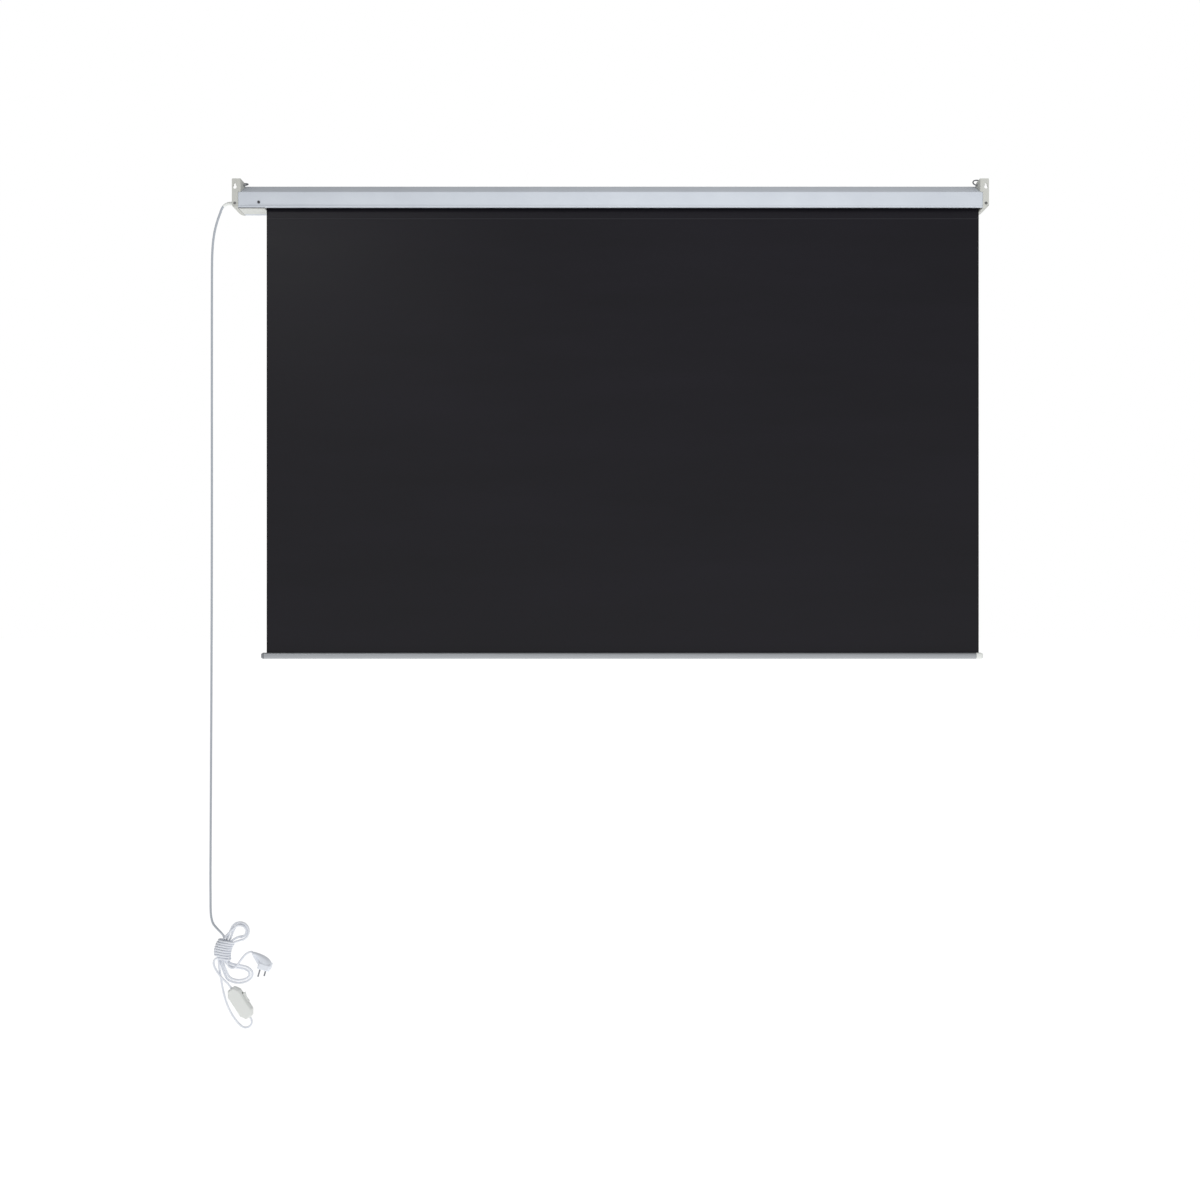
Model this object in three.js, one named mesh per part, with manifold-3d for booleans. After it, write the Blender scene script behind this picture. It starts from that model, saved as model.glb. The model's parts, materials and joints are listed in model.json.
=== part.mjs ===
// Motorised projection screen with a case, a roller, its fabric and a power cord with an inline switch.
// Millimetres, +Z up, X along the case, the viewing side faces -Y and the wall is the plane Y = 0.
// The origin lies midway between the two keyhole seats, where the wall screws carry the screen.
import * as THREE from "three";
import { mergeVertices } from "three/addons/utils/BufferGeometryUtils.js";
import Module from "manifold-3d";

const wasm = await Module();
wasm.setup();

// Driving dimensions: the whole screen
const fabricWidth = 1700;
const fabricDrop = 1084.4;
const fabricThickness = 0.45;
const idlerBayLength = 4;
const motorBayLength = 63;
const caseLength = idlerBayLength + fabricWidth + motorBayLength;

// Driving dimensions: the roller with the fabric wound on it, by depth from the wall and height above
// the keyhole seats
const rollerDepth = 40;
const rollerHeight = -28;
const rollerDiameter = 38;
const rollerWall = 1.1;
const woundThickness = 1.3;
const rollRadius = rollerDiameter / 2 + woundThickness;

// Driving dimensions: the case section, round the roller
const caseBackDepth = 1.5;
const frontRoom = 12.7;
const bottomRoom = 6.7;
const ridgeRoom = 17.1;
const ridgeWidth = 12.5;
const frontChamferDepth = 14.5;
const frontChamferHeight = 15.4;
const slopeFall = 27.4;
const footChamferDepth = 10;
const footChamferHeight = 13;
const slotFrontSetback = 28;
const slotBackSetback = 3.5;
const caseWall = 1.3;
const caseCornerRadius = 2.5;
const hemRadius = 2.2;
const caseFrontDepth = rollerDepth + rollRadius + frontRoom;
const caseBottomHeight = rollerHeight - rollRadius - bottomRoom;
const ridgeHeight = rollerHeight + rollRadius + ridgeRoom;
const slopeFootHeight = ridgeHeight - slopeFall;
const ridgeFrontDepth = caseFrontDepth - frontChamferDepth;
const ridgeBackDepth = ridgeFrontDepth - ridgeWidth;
const frontTopHeight = ridgeHeight - frontChamferHeight;
const frontFootHeight = caseBottomHeight + footChamferHeight;
const bottomFrontDepth = caseFrontDepth - footChamferDepth;
const slotBackDepth = caseBackDepth + slotBackSetback;
const slotFrontDepth = caseFrontDepth - slotFrontSetback;

// Driving dimensions: the end caps
const capProud = 1;
const capWall = 2.4;
const capLength = 17.8;
const capDomeInset = 13;
const capCornerRadius = 3.5;
const flangeLap = 6.4;
const flangeReach = 14.2;
const flangeRise = 4.1;
const flangeFootRise = 5;
const keyholeInCap = 7.2;
const flangeThickness = 3;
const flangeCornerRadius = 1.6;
const keyholeNeckWidth = 5;
const keyholeHeadDiameter = 8.6;
const keyholeDrop = 6.5;
const gussetThickness = 2.8;
const gussetTopSetback = 15;
const gussetFootSetback = 6;
const collarLength = 8;
const collarWall = 1.6;
const capScrewRise = 10;

// Driving dimensions: the ceiling rings
const ringDiameter = 22;
const ringWire = 2.6;
const ringHoleDiameter = 3.6;
const ringHoleSetback = 22;
const ringHoleDrop = 4.4;
const motorRingLean = THREE.MathUtils.degToRad(60);
const idlerRingLean = THREE.MathUtils.degToRad(35);

// Driving dimensions: the motor and the idler
const motorDiameter = 33.4;
const motorLength = 430;
const headDiameter = 42;
const headLength = 34;
const headNeckDiameter = 26;
const stubWidth = 10;
const stubLength = 12;
const idlerPinDiameter = 8;
const idlerBushDiameter = 13;
const bracketThickness = 2;
const tubePastFabric = 3;
const limitRingWidth = 4.5;

// Driving dimensions: the bottom bar
const barHeight = 14.4;
const barDepth = 15;
const barWall = 1.2;
const barPastFabric = 5;
const barMotorCapLength = 7;
const barIdlerCapLength = 16.6;
const fabricOverIdlerCap = 7.7;
const barRodDiameter = 5;

// Driving dimensions: screws, cover and gland
const screwHeadDiameter = 6.6;
const screwHeadHeight = 1.2;
const screwShankDiameter = 3.4;
const screwShankLength = 11;
const driveSlotWidth = 1;
const driveSlotDepth = 0.6;
const coverThickness = 1.6;
const coverUpstand = 6;
const caseScrewInFoot = 5.9;
const caseScrewRise = 12.5;
const glandDrop = 10;
const glandSetback = 14;
const glandFlangeDiameter = 15;
const glandFlangeThickness = 2;
const glandReliefLength = 4.5;
const glandReliefDiameter = 8.4;

// Driving dimensions: the cord, its switch and its plug
const cordDiameter = 5.2;
const cordJointGap = 0.8;
const switchLength = 82;
const switchWidth = 34;
const switchThickness = 20;
const plugPinDiameter = 4;
const plugPinLength = 19;
const plugPinPitch = 19;

// Clearances and cutting overrun
const seatGap = 0.3;
const slideGap = 0.5;
const overrun = 2;

// Counts of facets and steps
const roundSides = 24;
const smallRoundSides = 16;
const cornerSteps = 3;
const domeSteps = 5;

// Places that follow from the driving dimensions
const caseEndX = caseLength / 2;
const capInnerX = caseEndX + seatGap;
const capOuterX = capInnerX + capLength;
const keyholeX = capInnerX + keyholeInCap;
const flangeInnerX = capInnerX - flangeLap;
const flangeOuterX = capInnerX + flangeReach;
const flangeTopHeight = ridgeHeight + flangeRise;
const flangeBottomHeight = caseBottomHeight + flangeFootRise;
const gussetTopDepth = ridgeBackDepth - gussetTopSetback;
const gussetFootDepth = ridgeBackDepth - gussetFootSetback;
const capScrewHeight = caseBottomHeight + capScrewRise;
const ringHoleDepth = ridgeBackDepth - ringHoleSetback;
const ringHoleHeight = ridgeHeight - ringHoleDrop;
const caseScrewHeight = caseBottomHeight + caseScrewRise;
const glandHeight = rollerHeight - glandDrop;
const glandDepth = rollerDepth - glandSetback;
const fabricIdlerX = -caseEndX + idlerBayLength;
const fabricMotorX = fabricIdlerX + fabricWidth;
const fabricDepth = rollerDepth - rollRadius;
const barTopHeight = rollerHeight - fabricDrop;
const coverInnerX = fabricMotorX + slideGap;
const rollerMotorX = fabricMotorX + tubePastFabric;
const limitRingFromX = rollerMotorX + seatGap;
const bracketFromX = limitRingFromX + limitRingWidth + seatGap;
const caseScrewX = bracketFromX + caseScrewInFoot;
const fullTurn = Math.PI * 2;

// Maps from a piece's local axes: sections lie across the case, plans lie on the wall
const sectionToPart = new THREE.Matrix4().set(0, 0, 1, 0, 1, 0, 0, 0, 0, 1, 0, 0, 0, 0, 0, 1);
const planToPart = new THREE.Matrix4().set(1, 0, 0, 0, 0, 0, -1, 0, 0, 1, 0, 0, 0, 0, 0, 1);
const mirrorAcrossX = new THREE.Matrix4().makeScale(-1, 1, 1);

// Geometry helpers
function solidOf(geometry) {
  const bare = geometry.clone();
  bare.deleteAttribute("normal");
  bare.deleteAttribute("uv");
  const merged = mergeVertices(bare);
  const vertProperties = Float32Array.from(merged.attributes.position.array);
  const triVerts = Uint32Array.from(merged.index.array);
  return new wasm.Manifold(new wasm.Mesh({ numProp: 3, vertProperties, triVerts }));
}

function geometryOf(solid) {
  const mesh = solid.getMesh();
  const geometry = new THREE.BufferGeometry();
  geometry.setAttribute("position", new THREE.BufferAttribute(Float32Array.from(mesh.vertProperties), 3));
  geometry.setIndex(new THREE.BufferAttribute(Uint32Array.from(mesh.triVerts), 1));
  return geometry;
}

function joined(...geometries) {
  const solids = geometries.map(solidOf);
  return geometryOf(solids.reduce((whole, next) => whole.add(next)));
}

function cut(geometry, ...tools) {
  const solids = tools.map(solidOf);
  return geometryOf(solids.reduce((rest, tool) => rest.subtract(tool), solidOf(geometry)));
}

function mirrored(geometry) {
  const copy = geometry.index ? geometry.clone() : mergeVertices(geometry.clone());
  copy.applyMatrix4(mirrorAcrossX);
  const index = copy.index.array;
  for (let i = 0; i < index.length; i += 3) {
    [index[i + 1], index[i + 2]] = [index[i + 2], index[i + 1]];
  }
  return copy;
}

function counterClockwise(points) {
  return THREE.ShapeUtils.isClockWise(points) ? [...points].reverse() : points;
}

// Moves every edge of a closed outline inwards by a distance, or outwards by a negative one
function insetOutline(points, distance) {
  return points.map((corner, i) => {
    const before = points[(i + points.length - 1) % points.length];
    const after = points[(i + 1) % points.length];
    const arriving = corner.clone().sub(before).normalize();
    const leaving = after.clone().sub(corner).normalize();
    const inward = new THREE.Vector2(-arriving.y - leaving.y, arriving.x + leaving.x).normalize();
    const share = inward.dot(new THREE.Vector2(-leaving.y, leaving.x));
    return corner.clone().addScaledVector(inward, distance / share);
  });
}

// Rounds every corner of a closed outline with an arc of the same number of steps
function roundedOutline(points, radius, steps = cornerSteps) {
  const rounded = [];
  points.forEach((corner, i) => {
    const before = points[(i + points.length - 1) % points.length];
    const after = points[(i + 1) % points.length];
    const back = before.clone().sub(corner).normalize();
    const ahead = after.clone().sub(corner).normalize();
    const half = Math.acos(THREE.MathUtils.clamp(back.dot(ahead), -1, 1)) / 2;
    const reach = radius / Math.tan(half);
    const inward = back.clone().add(ahead).normalize();
    const centre = corner.clone().addScaledVector(inward, radius / Math.sin(half));
    const start = corner.clone().addScaledVector(back, reach).sub(centre);
    const end = corner.clone().addScaledVector(ahead, reach).sub(centre);
    const sweep = Math.atan2(start.cross(end), start.dot(end));
    for (let step = 0; step <= steps; step++) {
      rounded.push(start.clone().rotateAround(new THREE.Vector2(), (sweep * step) / steps).add(centre));
    }
  });
  return rounded;
}

// A closed solid through a row of sections [distance, outline] with equal numbers of points
function loft(sections) {
  const positions = [];
  for (const [distance, outline] of sections) {
    outline.forEach((point) => positions.push(point.x, point.y, distance));
  }
  const count = sections[0][1].length;
  const indices = [];
  for (let ring = 0; ring + 1 < sections.length; ring++) {
    for (let i = 0; i < count; i++) {
      const here = ring * count + i;
      const next = ring * count + ((i + 1) % count);
      indices.push(here, next, next + count, here, next + count, here + count);
    }
  }
  const base = (sections.length - 1) * count;
  for (const [a, b, c] of THREE.ShapeUtils.triangulateShape([...sections[0][1]], [])) {
    indices.push(c, b, a);
  }
  for (const [a, b, c] of THREE.ShapeUtils.triangulateShape([...sections.at(-1)[1]], [])) {
    indices.push(base + a, base + b, base + c);
  }
  const geometry = new THREE.BufferGeometry();
  geometry.setAttribute("position", new THREE.Float32BufferAttribute(positions, 3));
  geometry.setIndex(indices);
  return geometry;
}

// An outline across the case, given as depths from the wall and heights, run along X
function sectionPoints(pairs) {
  return counterClockwise(pairs.map(([depth, height]) => new THREE.Vector2(-depth, height)));
}

function alongX(outline, fromX, toX) {
  return loft([[fromX, outline], [toX, outline]]).applyMatrix4(sectionToPart);
}

// An outline on the wall, given as X and height, run away from the wall
function alongDepth(outline, fromDepth, toDepth) {
  return loft([[fromDepth, outline], [toDepth, outline]]).applyMatrix4(planToPart);
}

function circle(radius, x = 0, y = 0, sides = roundSides) {
  return Array.from({ length: sides }, (_, i) => {
    const angle = (fullTurn * i) / sides;
    return new THREE.Vector2(x + radius * Math.cos(angle), y + radius * Math.sin(angle));
  });
}

function rectangle(left, right, bottom, top) {
  const corners = [[left, bottom], [right, bottom], [right, top], [left, top]];
  return corners.map(([x, y]) => new THREE.Vector2(x, y));
}

// A box given by its X, depth and height ranges
function block([fromX, toX], [fromDepth, toDepth], [bottom, top]) {
  return alongX(rectangle(-toDepth, -fromDepth, bottom, top), fromX, toX);
}

// A round bar along X, and a washer or tube along X
function barAlongX(diameter, fromX, toX, depth, height, sides = roundSides) {
  return alongX(circle(diameter / 2, -depth, height, sides), fromX, toX);
}

function tubeAlongX(outer, inner, fromX, toX, depth, height, sides = roundSides) {
  const bore = barAlongX(inner, fromX - overrun, toX + overrun, depth, height, sides);
  return cut(barAlongX(outer, fromX, toX, depth, height, sides), bore);
}

// Finishes
function finish(color, roughness, metalness) {
  return new THREE.MeshStandardMaterial({ color, roughness, metalness });
}

const casePaint = finish(0xd3d8df, 0.45, 0.1);
const capPlastic = finish(0xc4c4c1, 0.5, 0);
const coverPlastic = finish(0xd6dada, 0.5, 0);
const zincSteel = finish(0xb9bdc2, 0.35, 0.9);
const darkSteel = finish(0x3a3c40, 0.45, 0.8);
const aluminium = finish(0xa8abb0, 0.4, 0.7);
const whitePlastic = finish(0xe0e2e0, 0.45, 0);
const greyPlastic = finish(0x8d9095, 0.5, 0);
const blackPlastic = finish(0x222326, 0.5, 0);
const blackFabric = finish(0x242327, 0.8, 0);
const cordPlastic = finish(0xdde2e8, 0.4, 0);

const projectionScreen = new THREE.Group();
const roller = new THREE.Group();
const slidingScreen = new THREE.Group();
projectionScreen.add(roller, slidingScreen);

function add(parent, name, geometry, material) {
  const mesh = new THREE.Mesh(geometry, material);
  mesh.name = name;
  parent.add(mesh);
  return mesh;
}

// Case: a folded shell, open along its underside, with a rolled hem on its back edge
const caseCorners = sectionPoints([
  [caseBackDepth, caseBottomHeight],
  [caseBackDepth, slopeFootHeight],
  [ridgeBackDepth, ridgeHeight],
  [ridgeFrontDepth, ridgeHeight],
  [caseFrontDepth, frontTopHeight],
  [caseFrontDepth, frontFootHeight],
  [bottomFrontDepth, caseBottomHeight],
]);
const hemProud = 0.8;
const hemDepth = caseBackDepth + hemRadius - hemProud;
const hemClearHeight = caseBottomHeight + 2 * hemRadius + seatGap;
const screwHoleDiameter = screwShankDiameter + 2 * seatGap;

function shellAlongCase(outerInset, innerInset, radius, fromX, toX) {
  const outer = roundedOutline(insetOutline(caseCorners, outerInset), radius);
  const inner = roundedOutline(insetOutline(caseCorners, innerInset), radius - innerInset + outerInset);
  return cut(alongX(outer, fromX, toX), alongX(inner, fromX - overrun, toX + overrun));
}

function caseShell() {
  const slotX = caseEndX + overrun;
  const slot = block(
    [-slotX, slotX],
    [slotBackDepth, slotFrontDepth],
    [caseBottomHeight - overrun, caseBottomHeight + caseWall + overrun],
  );
  const shell = cut(shellAlongCase(0, caseWall, caseCornerRadius, -caseEndX, caseEndX), slot);
  const hem = alongX(
    circle(hemRadius, -hemDepth, caseBottomHeight + hemRadius, smallRoundSides), -caseEndX, caseEndX);
  const screwHole = alongDepth(
    circle(screwHoleDiameter / 2, caseScrewX, caseScrewHeight, smallRoundSides),
    caseBackDepth - overrun,
    caseBackDepth + caseWall + overrun,
  );
  return cut(joined(shell, hem), screwHole);
}

add(projectionScreen, "case_shell", caseShell(), casePaint);

// End caps: a domed, hollow end with a collar inside the case, a wall flange with a keyhole,
// and an ear above the sloping top whose gusset carries the ceiling ring
const capCorners = insetOutline(caseCorners, -capProud);
const collarInset = caseWall + seatGap;
const pocketInset = capProud + collarInset + collarWall;
const bossDiameter = 18;
const smallestRadius = 0.5;
const slopeRise = (ridgeHeight - slopeFootHeight) / (ridgeBackDepth - caseBackDepth);
const slopeLift = Math.hypot(1, slopeRise);
const earFloorThickness = 1.2;

function slopeHeight(depth, above) {
  return slopeFootHeight + (depth - caseBackDepth) * slopeRise + above * slopeLift;
}

function dome(inset, length, lead) {
  const sections = [];
  for (let step = 0; step <= domeSteps; step++) {
    const angle = (Math.PI / 2) * (step / domeSteps);
    const drawnIn = inset + capDomeInset * (1 - Math.cos(angle));
    const radius = Math.max(capCornerRadius - drawnIn, smallestRadius);
    const outline = roundedOutline(insetOutline(capCorners, drawnIn), radius);
    sections.push([capInnerX + length * Math.sin(angle), outline]);
  }
  sections[0][0] -= lead;
  return loft(sections).applyMatrix4(sectionToPart);
}

function capCollar() {
  const fromX = caseEndX - collarLength;
  const collar = shellAlongCase(
    collarInset, collarInset + collarWall, caseCornerRadius, fromX, capInnerX + overrun);
  const slot = block(
    [fromX - overrun, capInnerX],
    [0, slotFrontDepth],
    [caseBottomHeight - overrun, hemClearHeight],
  );
  return cut(collar, slot);
}

function wallFlange() {
  const corner = flangeCornerRadius;
  const earBottom = slopeHeight(flangeThickness, seatGap);
  const ear = rectangle(flangeInnerX, flangeOuterX, earBottom, flangeTopHeight);
  const plate = rectangle(capInnerX, flangeOuterX, flangeBottomHeight, flangeTopHeight);
  return joined(
    alongDepth(roundedOutline(ear, corner), 0, flangeThickness),
    alongDepth(roundedOutline(plate, corner), 0, flangeThickness),
  );
}

function earGusset() {
  const gusset = sectionPoints([
    [0, slopeHeight(0, seatGap)],
    [0, flangeTopHeight],
    [gussetTopDepth, flangeTopHeight],
    [gussetFootDepth, slopeHeight(gussetFootDepth, seatGap + earFloorThickness)],
    [gussetFootDepth, slopeHeight(gussetFootDepth, seatGap)],
  ]);
  const floor = sectionPoints([
    [0, slopeHeight(0, seatGap)],
    [0, slopeHeight(0, seatGap + earFloorThickness)],
    [gussetFootDepth, slopeHeight(gussetFootDepth, seatGap + earFloorThickness)],
    [gussetFootDepth, slopeHeight(gussetFootDepth, seatGap)],
  ]);
  return joined(
    alongX(gusset, flangeInnerX, flangeInnerX + gussetThickness),
    alongX(floor, flangeInnerX, capInnerX + overrun),
  );
}

function keyhole() {
  const neck = keyholeNeckWidth / 2;
  const through = [-overrun, flangeThickness + overrun];
  return joined(
    alongDepth(circle(neck, keyholeX, 0, smallRoundSides), ...through),
    alongDepth(rectangle(keyholeX - neck, keyholeX + neck, -keyholeDrop, 0), ...through),
    alongDepth(circle(keyholeHeadDiameter / 2, keyholeX, -keyholeDrop, roundSides), ...through),
  );
}

const capScrewPostDiameter = 8.6;
const capScrewSeatDepth = screwHeadHeight + seatGap;
const screwTipRoom = 3;

function countersunkBore(x, height, length) {
  return joined(
    alongDepth(
      circle(screwHeadDiameter / 2 + seatGap, x, height, smallRoundSides), -overrun, capScrewSeatDepth),
    alongDepth(circle(screwHoleDiameter / 2, x, height, smallRoundSides), -overrun, length),
  );
}

function endCap(socket, ...cuts) {
  const screwEnd = capScrewSeatDepth + screwShankLength + seatGap;
  const body = cut(dome(0, capLength, 0), dome(pocketInset, capLength - capWall, overrun));
  const post = alongDepth(
    circle(capScrewPostDiameter / 2, keyholeX, capScrewHeight, smallRoundSides),
    flangeThickness / 2,
    screwEnd + screwTipRoom,
  );
  const boss = barAlongX(bossDiameter, capInnerX, capOuterX - capWall / 2, rollerDepth, rollerHeight);
  const ringHole = alongX(
    circle(ringHoleDiameter / 2, -ringHoleDepth, ringHoleHeight, smallRoundSides),
    flangeInnerX - overrun,
    flangeInnerX + gussetThickness + overrun,
  );
  const screwBore = countersunkBore(keyholeX, capScrewHeight, screwEnd);
  return cut(
    joined(body, capCollar(), wallFlange(), earGusset(), post, boss),
    socket,
    keyhole(),
    screwBore,
    ringHole,
    ...cuts,
  );
}

const stubEndX = capInnerX + stubLength;
const stubSocketWidth = stubWidth + 2 * seatGap;
const bushSocketDiameter = idlerBushDiameter + 2 * seatGap;
const glandBodyDiameter = 9;
const glandBoreDiameter = glandBodyDiameter + 2 * seatGap;

function squareAlongX(width, fromX, toX) {
  const half = width / 2;
  return block(
    [fromX, toX], [rollerDepth - half, rollerDepth + half], [rollerHeight - half, rollerHeight + half]);
}

const stubSocket = squareAlongX(stubSocketWidth, capInnerX - overrun, stubEndX + seatGap);
const bushSocket = barAlongX(
  bushSocketDiameter, capInnerX - overrun, stubEndX + seatGap, rollerDepth, rollerHeight);
const glandBore = barAlongX(
  glandBoreDiameter, capOuterX - capWall - overrun, capOuterX + overrun,
  glandDepth, glandHeight, smallRoundSides);

add(projectionScreen, "motor_end_cap", endCap(stubSocket, glandBore), capPlastic);
add(projectionScreen, "idler_end_cap", mirrored(endCap(bushSocket)), capPlastic);

// Slot cover: closes the underside between the fabric and the motor cap
function slotCover() {
  const top = caseBottomHeight - seatGap;
  const plate = block(
    [coverInnerX, caseEndX],
    [caseBackDepth + seatGap, slotFrontDepth + coverThickness],
    [top - coverThickness, top]);
  const upstand = block(
    [coverInnerX, coverInnerX + coverThickness],
    [slotBackDepth + slideGap, slotFrontDepth - slideGap],
    [top - coverThickness, caseBottomHeight + coverUpstand],
  );
  return joined(plate, upstand);
}

add(projectionScreen, "slot_cover", slotCover(), coverPlastic);

// Screws: a low head on the wall side, a shank into the piece behind it, and a driver slot
function panScrew(x, seatDepth, height) {
  const head = alongDepth(
    circle(screwHeadDiameter / 2, x, height, smallRoundSides), seatDepth - screwHeadHeight, seatDepth);
  const shank = alongDepth(
    circle(screwShankDiameter / 2, x, height, smallRoundSides),
    seatDepth - seatGap, seatDepth + screwShankLength);
  const reach = screwHeadDiameter / 2 - driveSlotWidth;
  const slotDepth = [seatDepth - screwHeadHeight - overrun, seatDepth - screwHeadHeight + driveSlotDepth];
  const across = driveSlotWidth / 2;
  const crossSlot = [
    alongDepth(rectangle(x - reach, x + reach, height - across, height + across), ...slotDepth),
    alongDepth(rectangle(x - across, x + across, height - reach, height + reach), ...slotDepth),
  ];
  return cut(joined(head, shank), ...crossSlot);
}

const capScrewDepth = capScrewSeatDepth - seatGap;
add(projectionScreen, "cap_screw_motor", panScrew(keyholeX, capScrewDepth, capScrewHeight), darkSteel);
add(projectionScreen, "cap_screw_idler", panScrew(-keyholeX, capScrewDepth, capScrewHeight), darkSteel);
add(projectionScreen, "case_screw",
  panScrew(caseScrewX, caseBackDepth - seatGap, caseScrewHeight), darkSteel);

// Ceiling rings: each swings about the hole in its gusset
const ringRadius = (ringDiameter - ringWire) / 2;
const ringSteps = 28;
const ringWireSides = 10;

function ceilingRing() {
  const ring = new THREE.TorusGeometry(ringRadius, ringWire / 2, ringWireSides, ringSteps);
  ring.deleteAttribute("normal");
  ring.deleteAttribute("uv");
  return mergeVertices(ring).translate(0, ringRadius, 0);
}

function addRing(name, side, lean) {
  const swing = new THREE.Group();
  swing.position.set(side * (flangeInnerX + gussetThickness / 2), -ringHoleDepth, ringHoleHeight);
  swing.rotation.x = Math.PI / 2 + lean;
  projectionScreen.add(swing);
  return add(swing, name, ceilingRing(), zincSteel);
}

addRing("ceiling_ring_motor", 1, motorRingLean);
addRing("ceiling_ring_idler", -1, idlerRingLean);

// Motor end: bracket, head with its two limit screws, and the motor tube inside the roller
const rollerIdlerX = fabricIdlerX - seatGap - tubePastFabric / 2;
const bracketToX = bracketFromX + bracketThickness;
const bracketFootLength = 10;
const bracketFootHeight = 28;
const bracketFootRise = 5;
const headFromX = bracketToX + seatGap;
const headToX = headFromX + headLength;
const neckInTube = 6;
const neckHoleDiameter = headNeckDiameter + 2 * seatGap;
const headFlatDepth = 3;
const tubeBoreDiameter = rollerDiameter - 2 * rollerWall;
const limitScrewDiameter = 5;
const limitScrewLength = 7;
const limitScrewProud = 1.5;
const limitScrewPitch = 14;
const limitScrewDepth = rollerDepth + headDiameter / 4;
const cableEntryDepth = 6;

function motorBracket() {
  const footDepth = caseBackDepth + caseWall + seatGap;
  const plate = alongX(
    roundedOutline(insetOutline(caseCorners, caseWall + seatGap), caseCornerRadius),
    bracketFromX, bracketToX);
  const neckHole = barAlongX(
    neckHoleDiameter, bracketFromX - overrun, bracketToX + overrun, rollerDepth, rollerHeight);
  const foot = block(
    [bracketFromX, bracketFromX + bracketFootLength],
    [footDepth, footDepth + bracketThickness],
    [caseBottomHeight + bracketFootRise, caseBottomHeight + bracketFootRise + bracketFootHeight],
  );
  const screwHole = alongDepth(
    circle(screwHoleDiameter / 2, caseScrewX, caseScrewHeight, smallRoundSides),
    footDepth - overrun,
    footDepth + bracketThickness + overrun,
  );
  const underside = block(
    [bracketFromX - overrun, bracketFromX + bracketFootLength + overrun],
    [0, caseFrontDepth],
    [caseBottomHeight - overrun, hemClearHeight],
  );
  return cut(joined(plate, foot), neckHole, screwHole, underside);
}

function limitScrewBore(height) {
  return barAlongX(
    limitScrewDiameter + 2 * seatGap,
    headToX - limitScrewLength,
    headToX + overrun,
    limitScrewDepth,
    height,
    smallRoundSides,
  );
}

const limitScrewHeights = [rollerHeight + limitScrewPitch / 2, rollerHeight - limitScrewPitch / 2];

function motorHead() {
  const head = barAlongX(headDiameter, headFromX, headToX, rollerDepth, rollerHeight);
  const neck = barAlongX(
    headNeckDiameter, rollerMotorX - neckInTube, headFromX + overrun, rollerDepth, rollerHeight);
  const stub = squareAlongX(stubWidth, headToX - overrun, stubEndX);
  const flat = block(
    [headFromX - overrun, headToX + overrun],
    [rollerDepth - headDiameter, rollerDepth - headDiameter / 2 + headFlatDepth],
    [rollerHeight - headDiameter, rollerHeight + headDiameter],
  );
  const cableEntry = alongX(
    circle(cordDiameter / 2 + seatGap, -glandDepth, glandHeight, smallRoundSides),
    headToX - cableEntryDepth,
    headToX + overrun,
  );
  return cut(joined(cut(head, flat), neck, stub), ...limitScrewHeights.map(limitScrewBore), cableEntry);
}

function limitScrew(height) {
  const screw = barAlongX(
    limitScrewDiameter,
    headToX - limitScrewLength + seatGap,
    headToX + limitScrewProud,
    limitScrewDepth,
    height,
    smallRoundSides,
  );
  const half = driveSlotWidth / 2;
  const slot = block(
    [headToX + limitScrewProud - driveSlotDepth, headToX + limitScrewProud + overrun],
    [limitScrewDepth - limitScrewDiameter, limitScrewDepth + limitScrewDiameter],
    [height - half, height + half],
  );
  return cut(screw, slot);
}

const motorTubeToX = rollerMotorX - neckInTube - seatGap;
const motorTubeFromX = motorTubeToX - motorLength;
const motorShaftDiameter = 10;
const motorShaftLength = 14;

function motorTube() {
  const tube = barAlongX(motorDiameter, motorTubeFromX, motorTubeToX, rollerDepth, rollerHeight);
  const shaft = barAlongX(
    motorShaftDiameter, motorTubeFromX - motorShaftLength, motorTubeFromX + overrun,
    rollerDepth, rollerHeight);
  return joined(tube, shaft);
}

add(projectionScreen, "motor_bracket", motorBracket(), zincSteel);
add(projectionScreen, "motor_head", motorHead(), blackPlastic);
add(projectionScreen, "motor_tube", motorTube(), zincSteel);
["limit_screw_up", "limit_screw_down"].forEach((name, i) => {
  add(projectionScreen, name, limitScrew(limitScrewHeights[i]), i ? coverPlastic : whitePlastic);
});

// Roller: its tube, the crowns at the motor, the plug with its pin, and the wound fabric
const crownWidth = 12;
const crownFlats = 8;
const crownSides = 2 * crownFlats;
const plugInTube = 40;
const pinInPlug = 30;
const pinInBush = 7;

function limitRing() {
  const rim = tubeAlongX(
    rollerDiameter, neckHoleDiameter, limitRingFromX, limitRingFromX + limitRingWidth,
    rollerDepth, rollerHeight);
  const sleeve = tubeAlongX(
    tubeBoreDiameter - 2 * seatGap,
    neckHoleDiameter,
    rollerMotorX - neckInTube + seatGap,
    limitRingFromX + seatGap,
    rollerDepth,
    rollerHeight,
  );
  return joined(rim, sleeve);
}

function driveCrown() {
  const toX = motorTubeFromX - seatGap;
  const bore = motorShaftDiameter + 2 * seatGap;
  return tubeAlongX(
    tubeBoreDiameter - 2 * seatGap, bore, toX - crownWidth, toX, rollerDepth, rollerHeight, crownSides);
}

function idlerPlug() {
  return tubeAlongX(
    tubeBoreDiameter - 2 * seatGap,
    idlerPinDiameter + 2 * seatGap,
    rollerIdlerX,
    rollerIdlerX + plugInTube,
    rollerDepth,
    rollerHeight,
  );
}

const idlerPinEndX = -capInnerX - pinInBush;
const bushLength = stubLength;

function idlerBush() {
  return tubeAlongX(
    idlerBushDiameter,
    idlerPinDiameter + 2 * seatGap,
    -capInnerX - bushLength,
    -capInnerX,
    rollerDepth,
    rollerHeight,
  );
}

function fabricRoll() {
  return tubeAlongX(
    2 * rollRadius, rollerDiameter + 2 * seatGap, fabricIdlerX, fabricMotorX,
    rollerDepth, rollerHeight, roundSides);
}

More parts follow.
